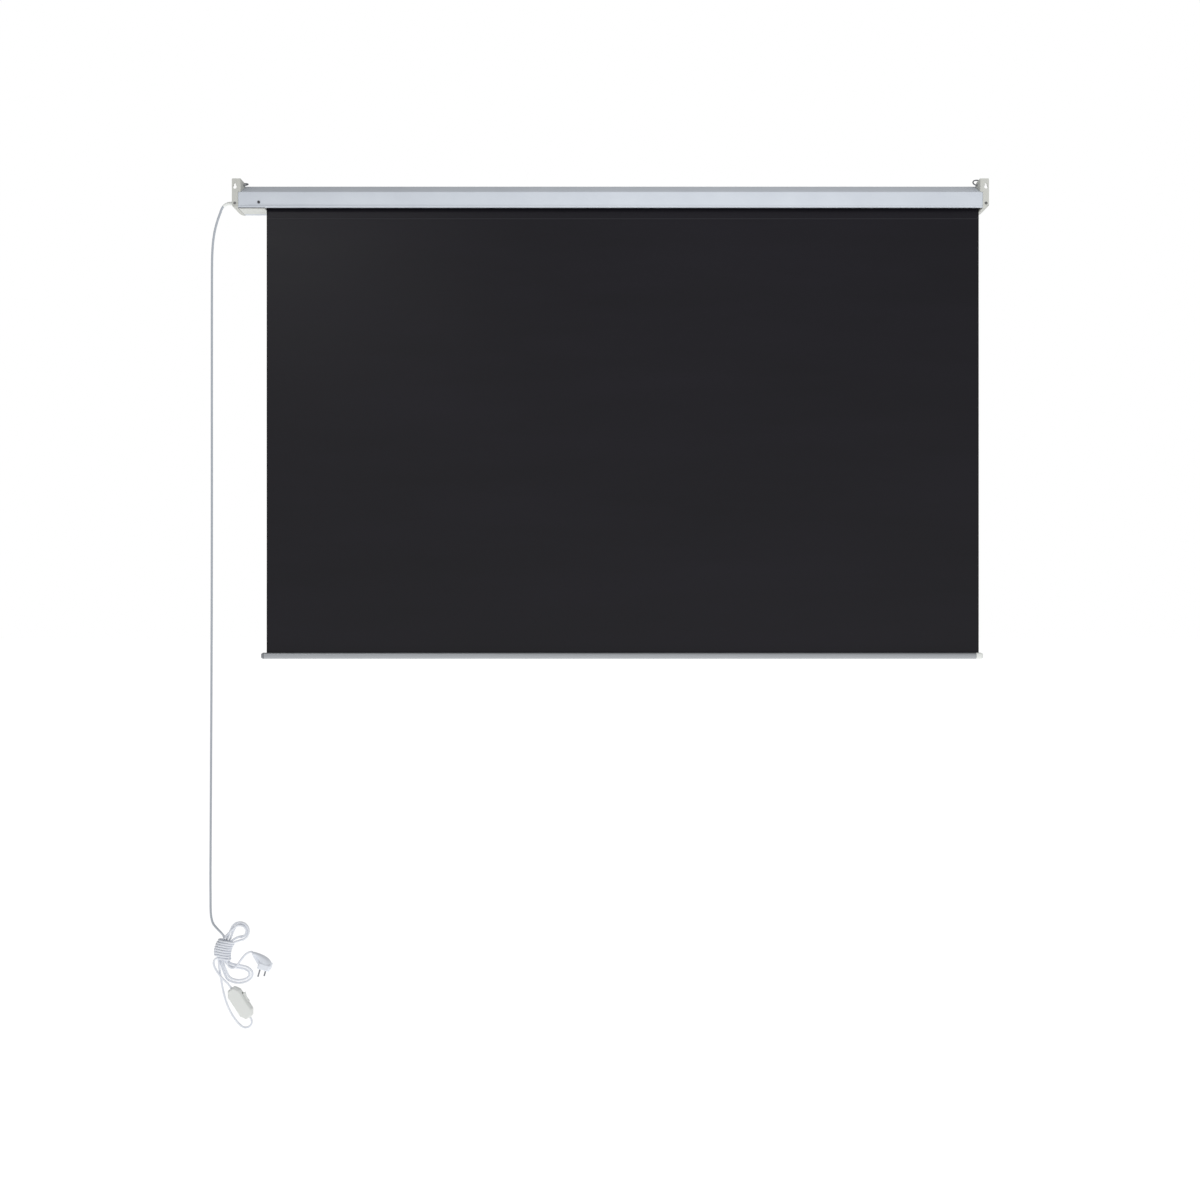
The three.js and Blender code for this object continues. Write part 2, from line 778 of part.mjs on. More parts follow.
add(roller, "roller_tube",
  tubeAlongX(rollerDiameter, tubeBoreDiameter, rollerIdlerX, rollerMotorX, rollerDepth, rollerHeight),
  aluminium);
add(roller, "limit_ring", limitRing(), greyPlastic);
add(roller, "drive_crown", driveCrown(), greyPlastic);
add(roller, "idler_plug", idlerPlug(), greyPlastic);
add(roller, "idler_pin",
  barAlongX(idlerPinDiameter, idlerPinEndX, rollerIdlerX + pinInPlug, rollerDepth, rollerHeight), zincSteel);
add(projectionScreen, "idler_bush", idlerBush(), whitePlastic);
add(roller, "fabric_roll", fabricRoll(), blackFabric);

// Fabric and bottom bar: the fabric enters the bar's slot and hangs its rod inside
const fabricFromDepth = fabricDepth - seatGap - fabricThickness;
const fabricToDepth = fabricDepth - seatGap;
const barCentreDepth = (fabricFromDepth + fabricToDepth) / 2;
const barCornerRadius = 4;
const barSlotWidth = fabricThickness + 2 * slideGap;
const barIdlerX = fabricIdlerX + fabricOverIdlerCap;
const barMotorX = fabricMotorX + barPastFabric;
const barRodSetback = 12;
const barTongueLength = 9;
const barTongueWall = 2;
const capTipInset = 3;
const capTipLength = 3.5;
const capTipStepShare = 1 / 3;
const barCentreHeight = barTopHeight - barHeight / 2;
const fabricInBar = 1.5;
const fabricEndHeight = barTopHeight - barWall - fabricInBar;

function barOutline(inset) {
  const halfDepth = barDepth / 2;
  const halfHeight = barHeight / 2;
  const outline = rectangle(
    -barCentreDepth - halfDepth,
    -barCentreDepth + halfDepth,
    barCentreHeight - halfHeight,
    barCentreHeight + halfHeight,
  );
  return roundedOutline(insetOutline(outline, inset), Math.max(barCornerRadius - inset, smallestRadius));
}

function barSlot(fromX, toX, bottom) {
  const half = barSlotWidth / 2;
  const depths = [barCentreDepth - half, barCentreDepth + half];
  return block([fromX, toX], depths, [bottom, barTopHeight + overrun]);
}

function bottomBar() {
  const hollow = alongX(barOutline(barWall), barIdlerX - overrun, barMotorX + overrun);
  const slot = barSlot(barIdlerX - overrun, barMotorX + overrun, barTopHeight - barWall - overrun);
  return cut(alongX(barOutline(0), barIdlerX, barMotorX), hollow, slot);
}

// A bar cap at +X: a rounded outer end and a hollow tongue inside the bar
function barCap(fromX, length) {
  const outer = loft([
    [fromX + seatGap, barOutline(0)],
    [fromX + length - capTipLength, barOutline(0)],
    [fromX + length - capTipLength * capTipStepShare, barOutline(capTipInset / 2)],
    [fromX + length, barOutline(capTipInset)],
  ]).applyMatrix4(sectionToPart);
  const tongue = cut(
    alongX(barOutline(barWall + seatGap), fromX - barTongueLength, fromX + seatGap + overrun),
    alongX(
      barOutline(barWall + seatGap + barTongueWall), fromX - barTongueLength - overrun, fromX + seatGap),
  );
  return joined(outer, tongue);
}

add(projectionScreen, "screen_fabric",
  block([fabricIdlerX, fabricMotorX], [fabricFromDepth, fabricToDepth], [fabricEndHeight, rollerHeight]),
  blackFabric);
add(slidingScreen, "bottom_bar", bottomBar(), aluminium);
add(slidingScreen, "bar_cap_motor",
  cut(barCap(barMotorX, barMotorCapLength), barSlot(barMotorX - barTongueLength - overrun, barMotorX + seatGap,
    fabricEndHeight - seatGap)), greyPlastic);
add(slidingScreen, "bar_cap_idler",
  cut(mirrored(barCap(-barIdlerX, barIdlerCapLength)), barSlot(fabricIdlerX - slideGap,
    barIdlerX + barTongueLength + overrun, fabricEndHeight - seatGap)), whitePlastic);
add(slidingScreen, "bar_rod",
  barAlongX(barRodDiameter, barIdlerX + barRodSetback, barMotorX - barRodSetback, barCentreDepth,
    barTopHeight - barHeight + barWall + barRodDiameter / 2 + seatGap, smallRoundSides), zincSteel);

// Cable gland: a flange on the motor cap's end face and a tapered relief that the cord leaves
const glandReliefTip = cordDiameter + 1.4;
const glandInnerReach = 3;
const glandFromX = capOuterX - capWall - glandInnerReach;
const glandFlangeX = capOuterX + seatGap;
const glandReliefX = glandFlangeX + glandFlangeThickness;
const glandEndX = glandReliefX + glandReliefLength;
const glandRings = 3;
const glandGroove = 0.6;

function cableGland() {
  const profile = [
    new THREE.Vector2(0, glandFromX),
    new THREE.Vector2(glandBodyDiameter / 2, glandFromX),
    new THREE.Vector2(glandBodyDiameter / 2, glandFlangeX),
    new THREE.Vector2(glandFlangeDiameter / 2, glandFlangeX),
    new THREE.Vector2(glandFlangeDiameter / 2, glandReliefX - glandGroove),
    new THREE.Vector2(glandFlangeDiameter / 2 - glandGroove, glandReliefX),
  ];
  const taper = (glandReliefDiameter - glandReliefTip) / 2;
  const ringPitch = glandReliefLength / (glandRings + 1);
  for (let ring = 0; ring <= glandRings; ring++) {
    const radius = glandReliefDiameter / 2 - (taper * ring) / (glandRings + 1);
    const x = glandReliefX + ring * ringPitch;
    profile.push(new THREE.Vector2(radius, x), new THREE.Vector2(radius, x + ringPitch / 2));
    profile.push(new THREE.Vector2(radius - glandGroove, x + ringPitch / 2));
    profile.push(new THREE.Vector2(radius - glandGroove, x + ringPitch));
  }
  profile.push(new THREE.Vector2(0, glandEndX));
  const gland = new THREE.LatheGeometry(profile, smallRoundSides);
  gland.rotateZ(-Math.PI / 2);
  gland.translate(0, -glandDepth, glandHeight);
  return joined(gland);
}

add(projectionScreen, "cable_gland", cableGland(), whitePlastic);

// Hank: where its waist lies, and the frame that its strands and loops are laid in
const hankFromGland = 18.4;
const hankBelowGland = 1783.7;
const hankX = glandEndX + hankFromGland;
const hankHeight = glandHeight - hankBelowGland;
const hankDepth = glandDepth;
const waistTilt = THREE.MathUtils.degToRad(14);
const waistHalf = 22;
const waistBend = 5;
const strandPitch = 6.85;
const middleStrand = 1.5;
const layerPitch = 5.7;
const wrapStraight = 9.6;
const wrapRadius = 8.9;
const wrapPitch = 5.95;
const wrapTurns = 7.1;
const wrapFromTurn = 0.19;
const wrapTopShare = 0.96;
const exitShares = [-1.1, -0.6, 0, 0.6, 1.1];
const farLayer = layerPitch / 2;
const nearLayer = -layerPitch / 2;
const loopPoints = 9;
const wrapPointsPerTurn = 16;
const up = new THREE.Vector2(-Math.sin(waistTilt), Math.cos(waistTilt));
const across = new THREE.Vector2(Math.cos(waistTilt), Math.sin(waistTilt));

// A point of the hank, by its place across and up from the waist's middle, and its layer
function hankPoint(right, rise, layer) {
  return new THREE.Vector3(hankX + right, -(hankDepth + layer), hankHeight + rise);
}

// A point of a strand in the waist: the strands bow together, away from the loops' side
function waistPoint(offset, share, layer) {
  const sideways = offset - waistBend * share * share;
  return hankPoint(
    up.x * waistHalf * share + across.x * sideways, up.y * waistHalf * share + across.y * sideways, layer);
}

function strand(position, layer, rising) {
  const offset = (middleStrand - position) * strandPitch;
  const points = exitShares.map((share) => waistPoint(offset, share, layer));
  return rising ? points : points.reverse();
}

// A loop: an ellipse travelled from one angle to another, moving from layer to layer
function loop([right, rise], [radiusX, radiusZ], fromDegrees, toDegrees, fromLayer, toLayer) {
  return Array.from({ length: loopPoints }, (_, i) => {
    const share = i / (loopPoints - 1);
    const angle = THREE.MathUtils.degToRad(fromDegrees + (toDegrees - fromDegrees) * share);
    const layer = THREE.MathUtils.lerp(fromLayer, toLayer, THREE.MathUtils.smoothstep(share, 0, 1));
    return hankPoint(right + radiusX * Math.cos(angle), rise + radiusZ * Math.sin(angle), layer);
  });
}

// A point of the wrap's turn: two straight faces and two round ends, by its share of the turn
function turnPoint(share) {
  const quarter = (Math.PI / 2) * wrapRadius;
  const half = 2 * quarter + 2 * wrapStraight;
  const travelled = (share % 1) * 2 * half;
  const side = travelled < half ? 1 : -1;
  const along = travelled % half;
  const angle = Math.min(along, quarter) / wrapRadius + Math.max(along - half + quarter, 0) / wrapRadius;
  const straight = THREE.MathUtils.clamp(along - quarter, 0, 2 * wrapStraight);
  const right = straight - wrapStraight - wrapRadius * Math.cos(angle);
  return [side * right, -side * wrapRadius * Math.sin(angle)];
}

// The wrap: a helix round the waist, from its top down
function wrap() {
  const count = Math.round(wrapTurns * wrapPointsPerTurn);
  return Array.from({ length: count + 1 }, (_, i) => {
    const turn = (wrapTurns * i) / count;
    const rise = waistHalf * wrapTopShare - wrapPitch * turn;
    const [run, layer] = turnPoint(wrapFromTurn + turn);
    return waistPoint(run, rise / waistHalf, layer);
  });
}

const topLoopCentre = [-41, 43];
const outerTopLoop = [22, 20.3];
const innerTopLoop = [15.8, 14.3];
const bottomLoopCentre = [-37, -61];
const outerBottomLoop = [33, 21];
const innerBottomLoop = [25.6, 14.2];

const motorHank = [
  ...strand(0, farLayer, false),
  ...loop(bottomLoopCentre, outerBottomLoop, -5, -262, farLayer, farLayer),
  hankPoint(-30, -38.6, farLayer),
  hankPoint(-17, -34.6, farLayer),
  ...strand(3, farLayer, true),
  ...loop(topLoopCentre, innerTopLoop, 275, 15, farLayer, farLayer),
  ...strand(2, farLayer, false),
  hankPoint(-6.6, -34, farLayer),
  hankPoint(-14, -40.6, farLayer),
  hankPoint(-26, -44.6, farLayer),
  ...loop(bottomLoopCentre, innerBottomLoop, 100, 345, farLayer, farLayer),
  ...strand(1, farLayer, true),
  ...loop(topLoopCentre, outerTopLoop, 35, 265, farLayer, -wrapRadius),
  hankPoint(-34, 20, -wrapRadius),
  hankPoint(-26.5, 17, -wrapRadius),
  ...wrap(),
];

// The drop's points, as distances from the gland's end: outwards, towards the viewing side and down
const dropPoints = [
  [2.8, 0, 0],
  [7.3, 0, 0.7],
  [12.6, 0, 3],
  [17.2, 0, 6.6],
  [20.8, 0, 11.6],
  [25.6, 0, 24],
  [31.6, 0, 41],
  [37.6, 0, 63],
  [42.2, 0, 92],
  [44.2, 0, 122],
  [44.8, 0, 152],
  [45.2, 0, 382],
  [45.2, 0, 762],
  [46.2, 0, 1162],
  [48.2, 0.5, 1522],
  [48.8, 1.5, 1652],
  [47.6, 2.4, 1706],
];

const motorDrop = [
  new THREE.Vector3(glandEndX + seatGap, -glandDepth, glandHeight),
  ...dropPoints.map(([out, ahead, down]) => (
    new THREE.Vector3(glandEndX + out, -glandDepth - ahead, glandHeight - down))),
  hankPoint(24.5, 60, farLayer),
  hankPoint(15.5, 48.5, farLayer),
  hankPoint(5.5, 38, farLayer),
  hankPoint(-0.5, 30.3, farLayer),
];

// Where the inline switch and the plug hang, and how they are turned about the depth axis
const switchPlace = hankPoint(-42.1, -128.5, 0);
const switchTurn = THREE.MathUtils.degToRad(-123);
const plugPlace = hankPoint(-100.3, -40.1, 0);
const plugTurn = THREE.MathUtils.degToRad(-164);
const plugEntryX = -36.8;
const plugEntryY = -21.5;
const reliefTowardX = -13;
const reliefTowardY = -3;
const straightEnd = 3;
const straightLead = 4;

function placed(place, turn, x, y) {
  const offset = new THREE.Vector2(x, y).rotateAround(new THREE.Vector2(), turn);
  return new THREE.Vector3(place.x + offset.x, place.y, place.z + offset.y);
}

function switchEnd(distance) {
  return placed(switchPlace, switchTurn, distance, 0);
}

function plugEntry(distance) {
  const run = new THREE.Vector2(reliefTowardX - plugEntryX, reliefTowardY - plugEntryY).setLength(distance);
  return placed(plugPlace, plugTurn, plugEntryX - run.x, plugEntryY - run.y);
}

const switchLead = [
  hankPoint(11, -19.8, -wrapRadius),
  hankPoint(17, -23, -8.7),
  hankPoint(19.8, -31, -8.8),
  hankPoint(17, -42, -8.8),
  hankPoint(10.5, -53, -8.8),
  hankPoint(2.5, -63.5, -8.6),
  hankPoint(-5, -73, -6.5),
  hankPoint(-12, -82.5, -2),
  switchEnd(-switchLength / 2 - straightLead),
  switchEnd(-switchLength / 2 - seatGap),
];

const switchOutlet = [
  switchEnd(switchLength / 2 + seatGap),
  switchEnd(switchLength / 2 + straightLead),
  hankPoint(-68.9, -173.5, 0),
  hankPoint(-67.6, -180, -0.2),
  hankPoint(-62.5, -185.7, -0.5),
  hankPoint(-55, -187.8, -0.8),
  hankPoint(-46.5, -185.4, -1.2),
  hankPoint(-31, -169, -2),
  hankPoint(-18, -148, -2.5),
  hankPoint(-8, -124, nearLayer),
  hankPoint(-1, -98, nearLayer),
  hankPoint(3.5, -74, nearLayer),
  hankPoint(6.5, -54, nearLayer),
  hankPoint(8.8, -38, nearLayer),
];

const plugHank = [
  ...strand(0, nearLayer, true),
  ...loop(topLoopCentre, innerTopLoop, 40, 285, nearLayer, nearLayer),
  ...strand(3, nearLayer, false),
];

const plugLead = [
  hankPoint(-12.2, -36, nearLayer - 0.5),
  hankPoint(-18, -43, nearLayer - 1),
  hankPoint(-27, -44, nearLayer - 1.5),
  hankPoint(-35, -38, nearLayer - 2),
  hankPoint(-42, -28, -4),
  hankPoint(-50, -17.5, -2.5),
  hankPoint(-57.5, -10.5, -1),
  plugEntry(straightEnd),
  plugEntry(seatGap),
];

// Cords: each is one smooth curve, cut into the stretches that hang free and those in the hank
const freeSides = 8;
const hankSides = 6;
const gapSamples = 1600;
const divisionsPerSample = 4;
const bendShare = 3.2;

function cordCurve(...stretches) {
  const curve = new THREE.CatmullRomCurve3(stretches.flat(), false, "centripetal");
  curve.arcLengthDivisions = gapSamples * divisionsPerSample;
  const ends = [0];
  stretches.forEach((stretch) => ends.push(ends.at(-1) + stretch.length));
  const lengths = curve.getLengths();
  const last = curve.points.length - 1;
  const cuts = ends.map((count) => {
    const index = Math.min(Math.max(count - 1, 0), last);
    return lengths[Math.round((index / last) * curve.arcLengthDivisions)] / curve.getLength();
  });
  return { curve, cuts };
}

// A path that is travelled by its points, so that close bends keep close rings
class PointPath extends THREE.CatmullRomCurve3 {
  getUtoTmapping(share) {
    return share;
  }
}

function cordPiece({ curve, cuts }, stretch, steps, sides) {
  const trim = cordJointGap / 2 / curve.getLength();
  const from = curve.getUtoTmapping(cuts[stretch] + (stretch ? trim : 0));
  const to = curve.getUtoTmapping(cuts[stretch + 1] - (stretch + 2 < cuts.length ? trim : 0));
  const points = Array.from({ length: steps + 1 }, (_, i) => {
    return curve.getPoint(THREE.MathUtils.lerp(from, to, i / steps));
  });
  const section = new THREE.Shape(circle(cordDiameter / 2, 0, 0, sides));
  const path = new PointPath(points, false, "centripetal");
  return joined(new THREE.ExtrudeGeometry(section, { steps, extrudePath: path }));
}

// Prints a cord's length and the least gap between its surface and its own other turns
function printLeastGap(name, { curve }) {
  const points = curve.getSpacedPoints(gapSamples);
  const skip = Math.ceil((bendShare * cordDiameter * gapSamples) / curve.getLength());
  let least = Infinity;
  points.forEach((point, i) => {
    for (let j = i + skip; j < points.length; j++) {
      least = Math.min(least, point.distanceTo(points[j]));
    }
  });
  const gap = least - cordDiameter;
  console.log(`${name}: ${curve.getLength().toFixed(0)} mm long, least gap to itself ${gap.toFixed(2)} mm`);
}

const motorCord = cordCurve(motorDrop, motorHank, switchLead);
const plugCord = cordCurve(switchOutlet, plugHank, plugLead);
printLeastGap("motor cord", motorCord);
printLeastGap("plug cord", plugCord);

const dropSteps = 80;
const motorHankSteps = 260;
const outletSteps = 28;
const plugHankSteps = 32;
const leadSteps = 16;
add(projectionScreen, "power_cord_drop", cordPiece(motorCord, 0, dropSteps, freeSides), cordPlastic);
add(projectionScreen, "motor_cord_hank", cordPiece(motorCord, 1, motorHankSteps, hankSides), cordPlastic);
add(projectionScreen, "switch_lead", cordPiece(motorCord, 2, leadSteps, freeSides), cordPlastic);
add(projectionScreen, "switch_outlet_cord", cordPiece(plugCord, 0, outletSteps, freeSides), cordPlastic);
add(projectionScreen, "plug_cord_hank", cordPiece(plugCord, 1, plugHankSteps, hankSides), cordPlastic);
add(projectionScreen, "plug_lead", cordPiece(plugCord, 2, leadSteps, freeSides), cordPlastic);

// Motor cable: from the gland's inner end to the motor head
add(projectionScreen, "motor_cable",
  barAlongX(cordDiameter, headToX - cableEntryDepth + seatGap, glandFromX - seatGap, glandDepth, glandHeight,
    smallRoundSides), cordPlastic);

// Inline switch: a base and a cover with a rocker between them on one edge
const switchEdgeInset = 3;
const switchEdgeDepth = 4;
const switchEndWidth = 17;
const switchTaperLength = 14;
const switchCornerRadius = 4;
const rockerPivotX = -5;
const rockerPivotInset = 5;
const rockerLength = 24;
const rockerThickness = 8;
const rockerProud = 5;
const rockerDip = 2.4;
const rockerRoom = 2;
const rockerLean = THREE.MathUtils.degToRad(8);
const rockerPinDiameter = 4;

const inlineSwitch = new THREE.Group();
inlineSwitch.position.copy(switchPlace);
inlineSwitch.rotation.set(Math.PI / 2, 0, switchTurn, "YXZ");
projectionScreen.add(inlineSwitch);

function switchOutline(inset) {
  const end = switchLength / 2;
  const shoulder = end - switchTaperLength;
  const half = switchWidth / 2;
  const neck = switchEndWidth / 2;
  const corners = [
    [-end, -neck], [-shoulder, -half], [shoulder, -half], [end, -neck],
    [end, neck], [shoulder, half], [-shoulder, half], [-end, neck],
  ].map(([x, y]) => new THREE.Vector2(x, y));
  return roundedOutline(insetOutline(corners, inset), switchCornerRadius);
}

function switchHalf(side) {
  const face = (side * switchThickness) / 2;
  const edge = face - side * switchEdgeDepth;
  const middle = (side * seatGap) / 2;
  const sections = [
    [middle, switchOutline(0)], [edge, switchOutline(0)], [face, switchOutline(switchEdgeInset)]];
  const shell = loft(side > 0 ? sections : sections.reverse());
  const pivotY = -switchWidth / 2 + rockerPivotInset;
  const roomHalf = rockerLength / 2 + rockerRoom;
  const roomDepth = rockerThickness / 2 + slideGap;
  const reach = rockerPivotInset + rockerRoom;
  const roomOutline = rectangle(
    rockerPivotX - roomHalf, rockerPivotX + roomHalf, pivotY - switchWidth, pivotY + reach);
  const room = loft([[-roomDepth, roomOutline], [roomDepth, roomOutline]]);
  const pinRadius = rockerPinDiameter / 2 + seatGap;
  const pinReach = roomDepth + rockerRoom;
  const pinHole = loft([
    [-pinReach, circle(pinRadius, rockerPivotX, pivotY, smallRoundSides)],
    [pinReach, circle(pinRadius, rockerPivotX, pivotY, smallRoundSides)],
  ]);
  return cut(shell, room, pinHole);
}

function rocker() {
  const half = rockerLength / 2;
  const rise = rockerPivotInset + rockerProud;
  const outline = counterClockwise([
    [-half, -rise], [-half / 2, -rise + rockerDip / 2], [0, -rise + rockerDip],
    [half / 2, -rise + rockerDip / 2], [half, -rise], [half, -rise + rockerProud],
    [rockerPivotInset, rockerPivotInset],
    [-rockerPivotInset, rockerPivotInset], [-half, -rise + rockerProud],
  ].map(([x, y]) => new THREE.Vector2(x, y)));
  const plate = loft([[-rockerThickness / 2, outline], [rockerThickness / 2, outline]]);
  const pinReach = rockerThickness / 2 + slideGap + rockerRoom - seatGap;
  const pin = loft([
    [-pinReach, circle(rockerPinDiameter / 2, 0, 0, smallRoundSides)],
    [pinReach, circle(rockerPinDiameter / 2, 0, 0, smallRoundSides)],
  ]);
  return joined(plate, pin);
}

add(inlineSwitch, "switch_base", switchHalf(1), whitePlastic);
add(inlineSwitch, "switch_cover", switchHalf(-1), whitePlastic);
const rockerSwing = new THREE.Group();
rockerSwing.position.set(rockerPivotX, -switchWidth / 2 + rockerPivotInset, 0);
rockerSwing.rotation.z = rockerLean;
inlineSwitch.add(rockerSwing);
add(rockerSwing, "switch_rocker", rocker(), whitePlastic);

// Plug: a moulded body with its relief, and two round pins
const plugBodyLength = 30;
const plugBodyHeight = 17;
const plugBodyDepth = 27;
const plugEdgeInset = 2.5;
const plugEdgeDepth = 3;
const plugCornerRadius = 3;
const reliefTipRadius = 3.6;
const reliefRootRadius = 6.6;
const pinSeatLength = 6;
const pinPlaceX = -2;
const pinTwist = THREE.MathUtils.degToRad(35);
const pinTipChamfer = 1;

const plug = new THREE.Group();
plug.position.copy(plugPlace);
plug.rotation.set(Math.PI / 2, 0, plugTurn, "YXZ");
projectionScreen.add(plug);

function plugPinShape(radius, fromY, toY) {
  const profile = [
    new THREE.Vector2(0, fromY),
    new THREE.Vector2(radius, fromY),
    new THREE.Vector2(radius, toY - pinTipChamfer),
    new THREE.Vector2(radius - pinTipChamfer, toY),
    new THREE.Vector2(0, toY),
  ];
  return new THREE.LatheGeometry(profile, smallRoundSides);
}

function pinPlaces() {
  return [-1, 1].map((side) => {
    const reach = (side * plugPinPitch) / 2;
    return new THREE.Vector3(pinPlaceX + reach * Math.sin(pinTwist), 0, reach * Math.cos(pinTwist));
  });
}

function plugBody() {
  const halfX = plugBodyLength / 2;
  const halfY = plugBodyHeight / 2;
  const halfZ = plugBodyDepth / 2;
  const outline = rectangle(-halfX, halfX, -halfY, halfY);
  const face = roundedOutline(insetOutline(outline, plugEdgeInset), plugCornerRadius);
  const side = roundedOutline(outline, plugCornerRadius);
  const body = loft([
    [-halfZ, face], [-halfZ + plugEdgeDepth, side], [halfZ - plugEdgeDepth, side], [halfZ, face]]);
  const run = new THREE.Vector3(reliefTowardX - plugEntryX, reliefTowardY - plugEntryY, 0);
  const relief = new THREE.LatheGeometry([
    new THREE.Vector2(0, 0),
    new THREE.Vector2(reliefTipRadius, 0),
    new THREE.Vector2(reliefRootRadius, run.length()),
    new THREE.Vector2(0, run.length()),
  ], smallRoundSides);
  const ahead = run.clone().normalize();
  const upright = new THREE.Vector3(0, 1, 0);
  relief.applyQuaternion(new THREE.Quaternion().setFromUnitVectors(upright, ahead));
  const start = new THREE.Vector3(plugEntryX, plugEntryY, 0).addScaledVector(ahead, seatGap);
  relief.translate(start.x, start.y, start.z);
  const bores = pinPlaces().map((place) => {
    const seat = halfY - pinSeatLength - seatGap;
    const bore = plugPinShape(plugPinDiameter / 2 + seatGap, seat, halfY + overrun);
    return bore.translate(place.x, place.y, place.z);
  });
  return cut(joined(body, relief), ...bores);
}

add(plug, "plug_body", plugBody(), whitePlastic);
pinPlaces().forEach((place, i) => {
  const halfY = plugBodyHeight / 2;
  const pin = joined(plugPinShape(plugPinDiameter / 2, halfY - pinSeatLength, halfY + plugPinLength));
  add(plug, `plug_pin_${i + 1}`, pin.translate(place.x, place.y, place.z), zincSteel);
});

export default projectionScreen;
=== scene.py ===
# %% [markdown]
# # A roll-down projection screen, seen from its wall side
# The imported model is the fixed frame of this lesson. It gives every solid at its real size and place,
# in metres, and each new piece is made where the frame says. The wall is the plane Y = 0, the viewing
# side faces -Y, and the camera stands behind the screen, as in the photograph.

# %% Load the frame
import json
import math
import bmesh
import bpy
import numpy as np
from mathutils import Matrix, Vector


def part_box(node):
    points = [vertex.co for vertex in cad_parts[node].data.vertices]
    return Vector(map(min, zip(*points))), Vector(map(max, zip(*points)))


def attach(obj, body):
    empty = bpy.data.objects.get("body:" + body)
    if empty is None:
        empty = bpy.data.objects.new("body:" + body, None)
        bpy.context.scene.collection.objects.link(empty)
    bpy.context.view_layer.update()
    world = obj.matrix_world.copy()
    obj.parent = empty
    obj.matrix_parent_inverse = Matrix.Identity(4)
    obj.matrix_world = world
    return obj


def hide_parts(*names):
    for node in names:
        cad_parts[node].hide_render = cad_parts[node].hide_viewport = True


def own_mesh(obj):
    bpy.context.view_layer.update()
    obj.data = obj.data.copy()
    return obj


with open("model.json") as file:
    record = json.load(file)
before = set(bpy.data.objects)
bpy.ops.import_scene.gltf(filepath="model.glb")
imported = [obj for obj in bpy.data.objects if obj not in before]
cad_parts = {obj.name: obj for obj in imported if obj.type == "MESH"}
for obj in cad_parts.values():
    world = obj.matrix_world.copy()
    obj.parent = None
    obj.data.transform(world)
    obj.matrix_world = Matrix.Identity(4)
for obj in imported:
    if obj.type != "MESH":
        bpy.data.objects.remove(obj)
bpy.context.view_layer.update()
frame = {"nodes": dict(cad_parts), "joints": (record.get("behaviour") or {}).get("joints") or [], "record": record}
MM = 0.001

# %% [markdown]
# ## Camera
# The photograph is taken level, from 2.9 m behind the wall plane and a little to the motor's side. A
# square picture with this lens sees 2.85 m of the wall plane, so the screen fills its upper half and
# the cord hangs down the left side.

# %% Camera
CAMERA_PLACE = (24.7 * MM, 2.9, -986.6 * MM)
CAMERA_TURN = (90, 0, 180)
CAMERA_LENS = 36.68
SENSOR_WIDTH = 36.0

camera_data = bpy.data.cameras.new("camera")
camera_data.lens = CAMERA_LENS
camera_data.sensor_width = SENSOR_WIDTH
camera = bpy.data.objects.new("camera", camera_data)
camera.location = CAMERA_PLACE
camera.rotation_euler = [math.radians(angle) for angle in CAMERA_TURN]
bpy.context.scene.collection.objects.link(camera)
bpy.context.scene.camera = camera
print("camera at", CAMERA_PLACE)

# %% [markdown]
# ## Surfaces from grids
# A surface is a grid of points, rows along it and columns across or around it. One helper turns any
# grid into a mesh, closes its seam and ends if asked, and makes the faces look outwards.


# %% A grid of points becomes a piece
def grid_faces(rows, columns, closed_around, closed_along):
    """Quads between neighbouring rows and columns; a closed direction joins its last to its first."""
    row = np.arange(rows if closed_along else rows - 1)[:, None]
    column = np.arange(columns if closed_around else columns - 1)[None, :]
    next_row = (row + 1) % rows
    next_column = (column + 1) % columns
    quads = np.stack([
        row * columns + column,
        row * columns + next_column,
        next_row * columns + next_column,
        next_row * columns + column,
    ], axis=-1)
    return quads.reshape(-1, 4)


def signed_volume(points, faces):
    """The sum of a sixth of the triple product, over triangles fanned from each face's first corner."""
    total = 0.0
    for face in faces:
        corners = points[np.asarray(face)]
        fan = np.cross(corners[1:-1], corners[2:])
        total += float((fan @ corners[0]).sum()) / 6
    return total


def new_piece(name, points, faces, uv=None):
    """A mesh object of the given points and faces, shaded smooth; uv holds one pair for each point."""
    mesh = bpy.data.meshes.new(name)
    mesh.from_pydata(points.tolist(), [], [list(map(int, face)) for face in faces])
    if uv is not None:
        corners = np.empty(len(mesh.loops), dtype=np.int32)
        mesh.loops.foreach_get("vertex_index", corners)
        layer = mesh.uv_layers.new(name="along")
        layer.data.foreach_set("uv", uv[corners].astype(np.float32).ravel())
    mesh.shade_smooth()
    mesh.update()
    piece = bpy.data.objects.new(name, mesh)
    bpy.context.scene.collection.objects.link(piece)
    return piece


def tube_piece(name, rings, uv=None):
    """A closed tube through rings of points, rows by sides by 3, with a flat face on each end."""
    rows, sides = rings.shape[:2]
    points = rings.reshape(-1, 3)
    faces = [list(face) for face in grid_faces(rows, sides, True, False)]
    faces.append(list(range(sides - 1, -1, -1)))
    faces.append(list(range((rows - 1) * sides, rows * sides)))
    if signed_volume(points, faces) < 0:
        faces = [face[::-1] for face in faces]
    return new_piece(name, points, faces, uv)


print("grid helpers ready")

# %% [markdown]
# ## The cord's route
# The power cord leaves a gland in the motor's end cap, hangs down beside the screen and is gathered
# into a hank: two loops at the top, two at the bottom, and the cord's own turns wrapped round its
# waist. Below it hang the inline switch and a second cord that runs back through the hank to the plug.
# The route is worked out in millimetres as in the model, from loops given by formula and free
# stretches given by a few points.

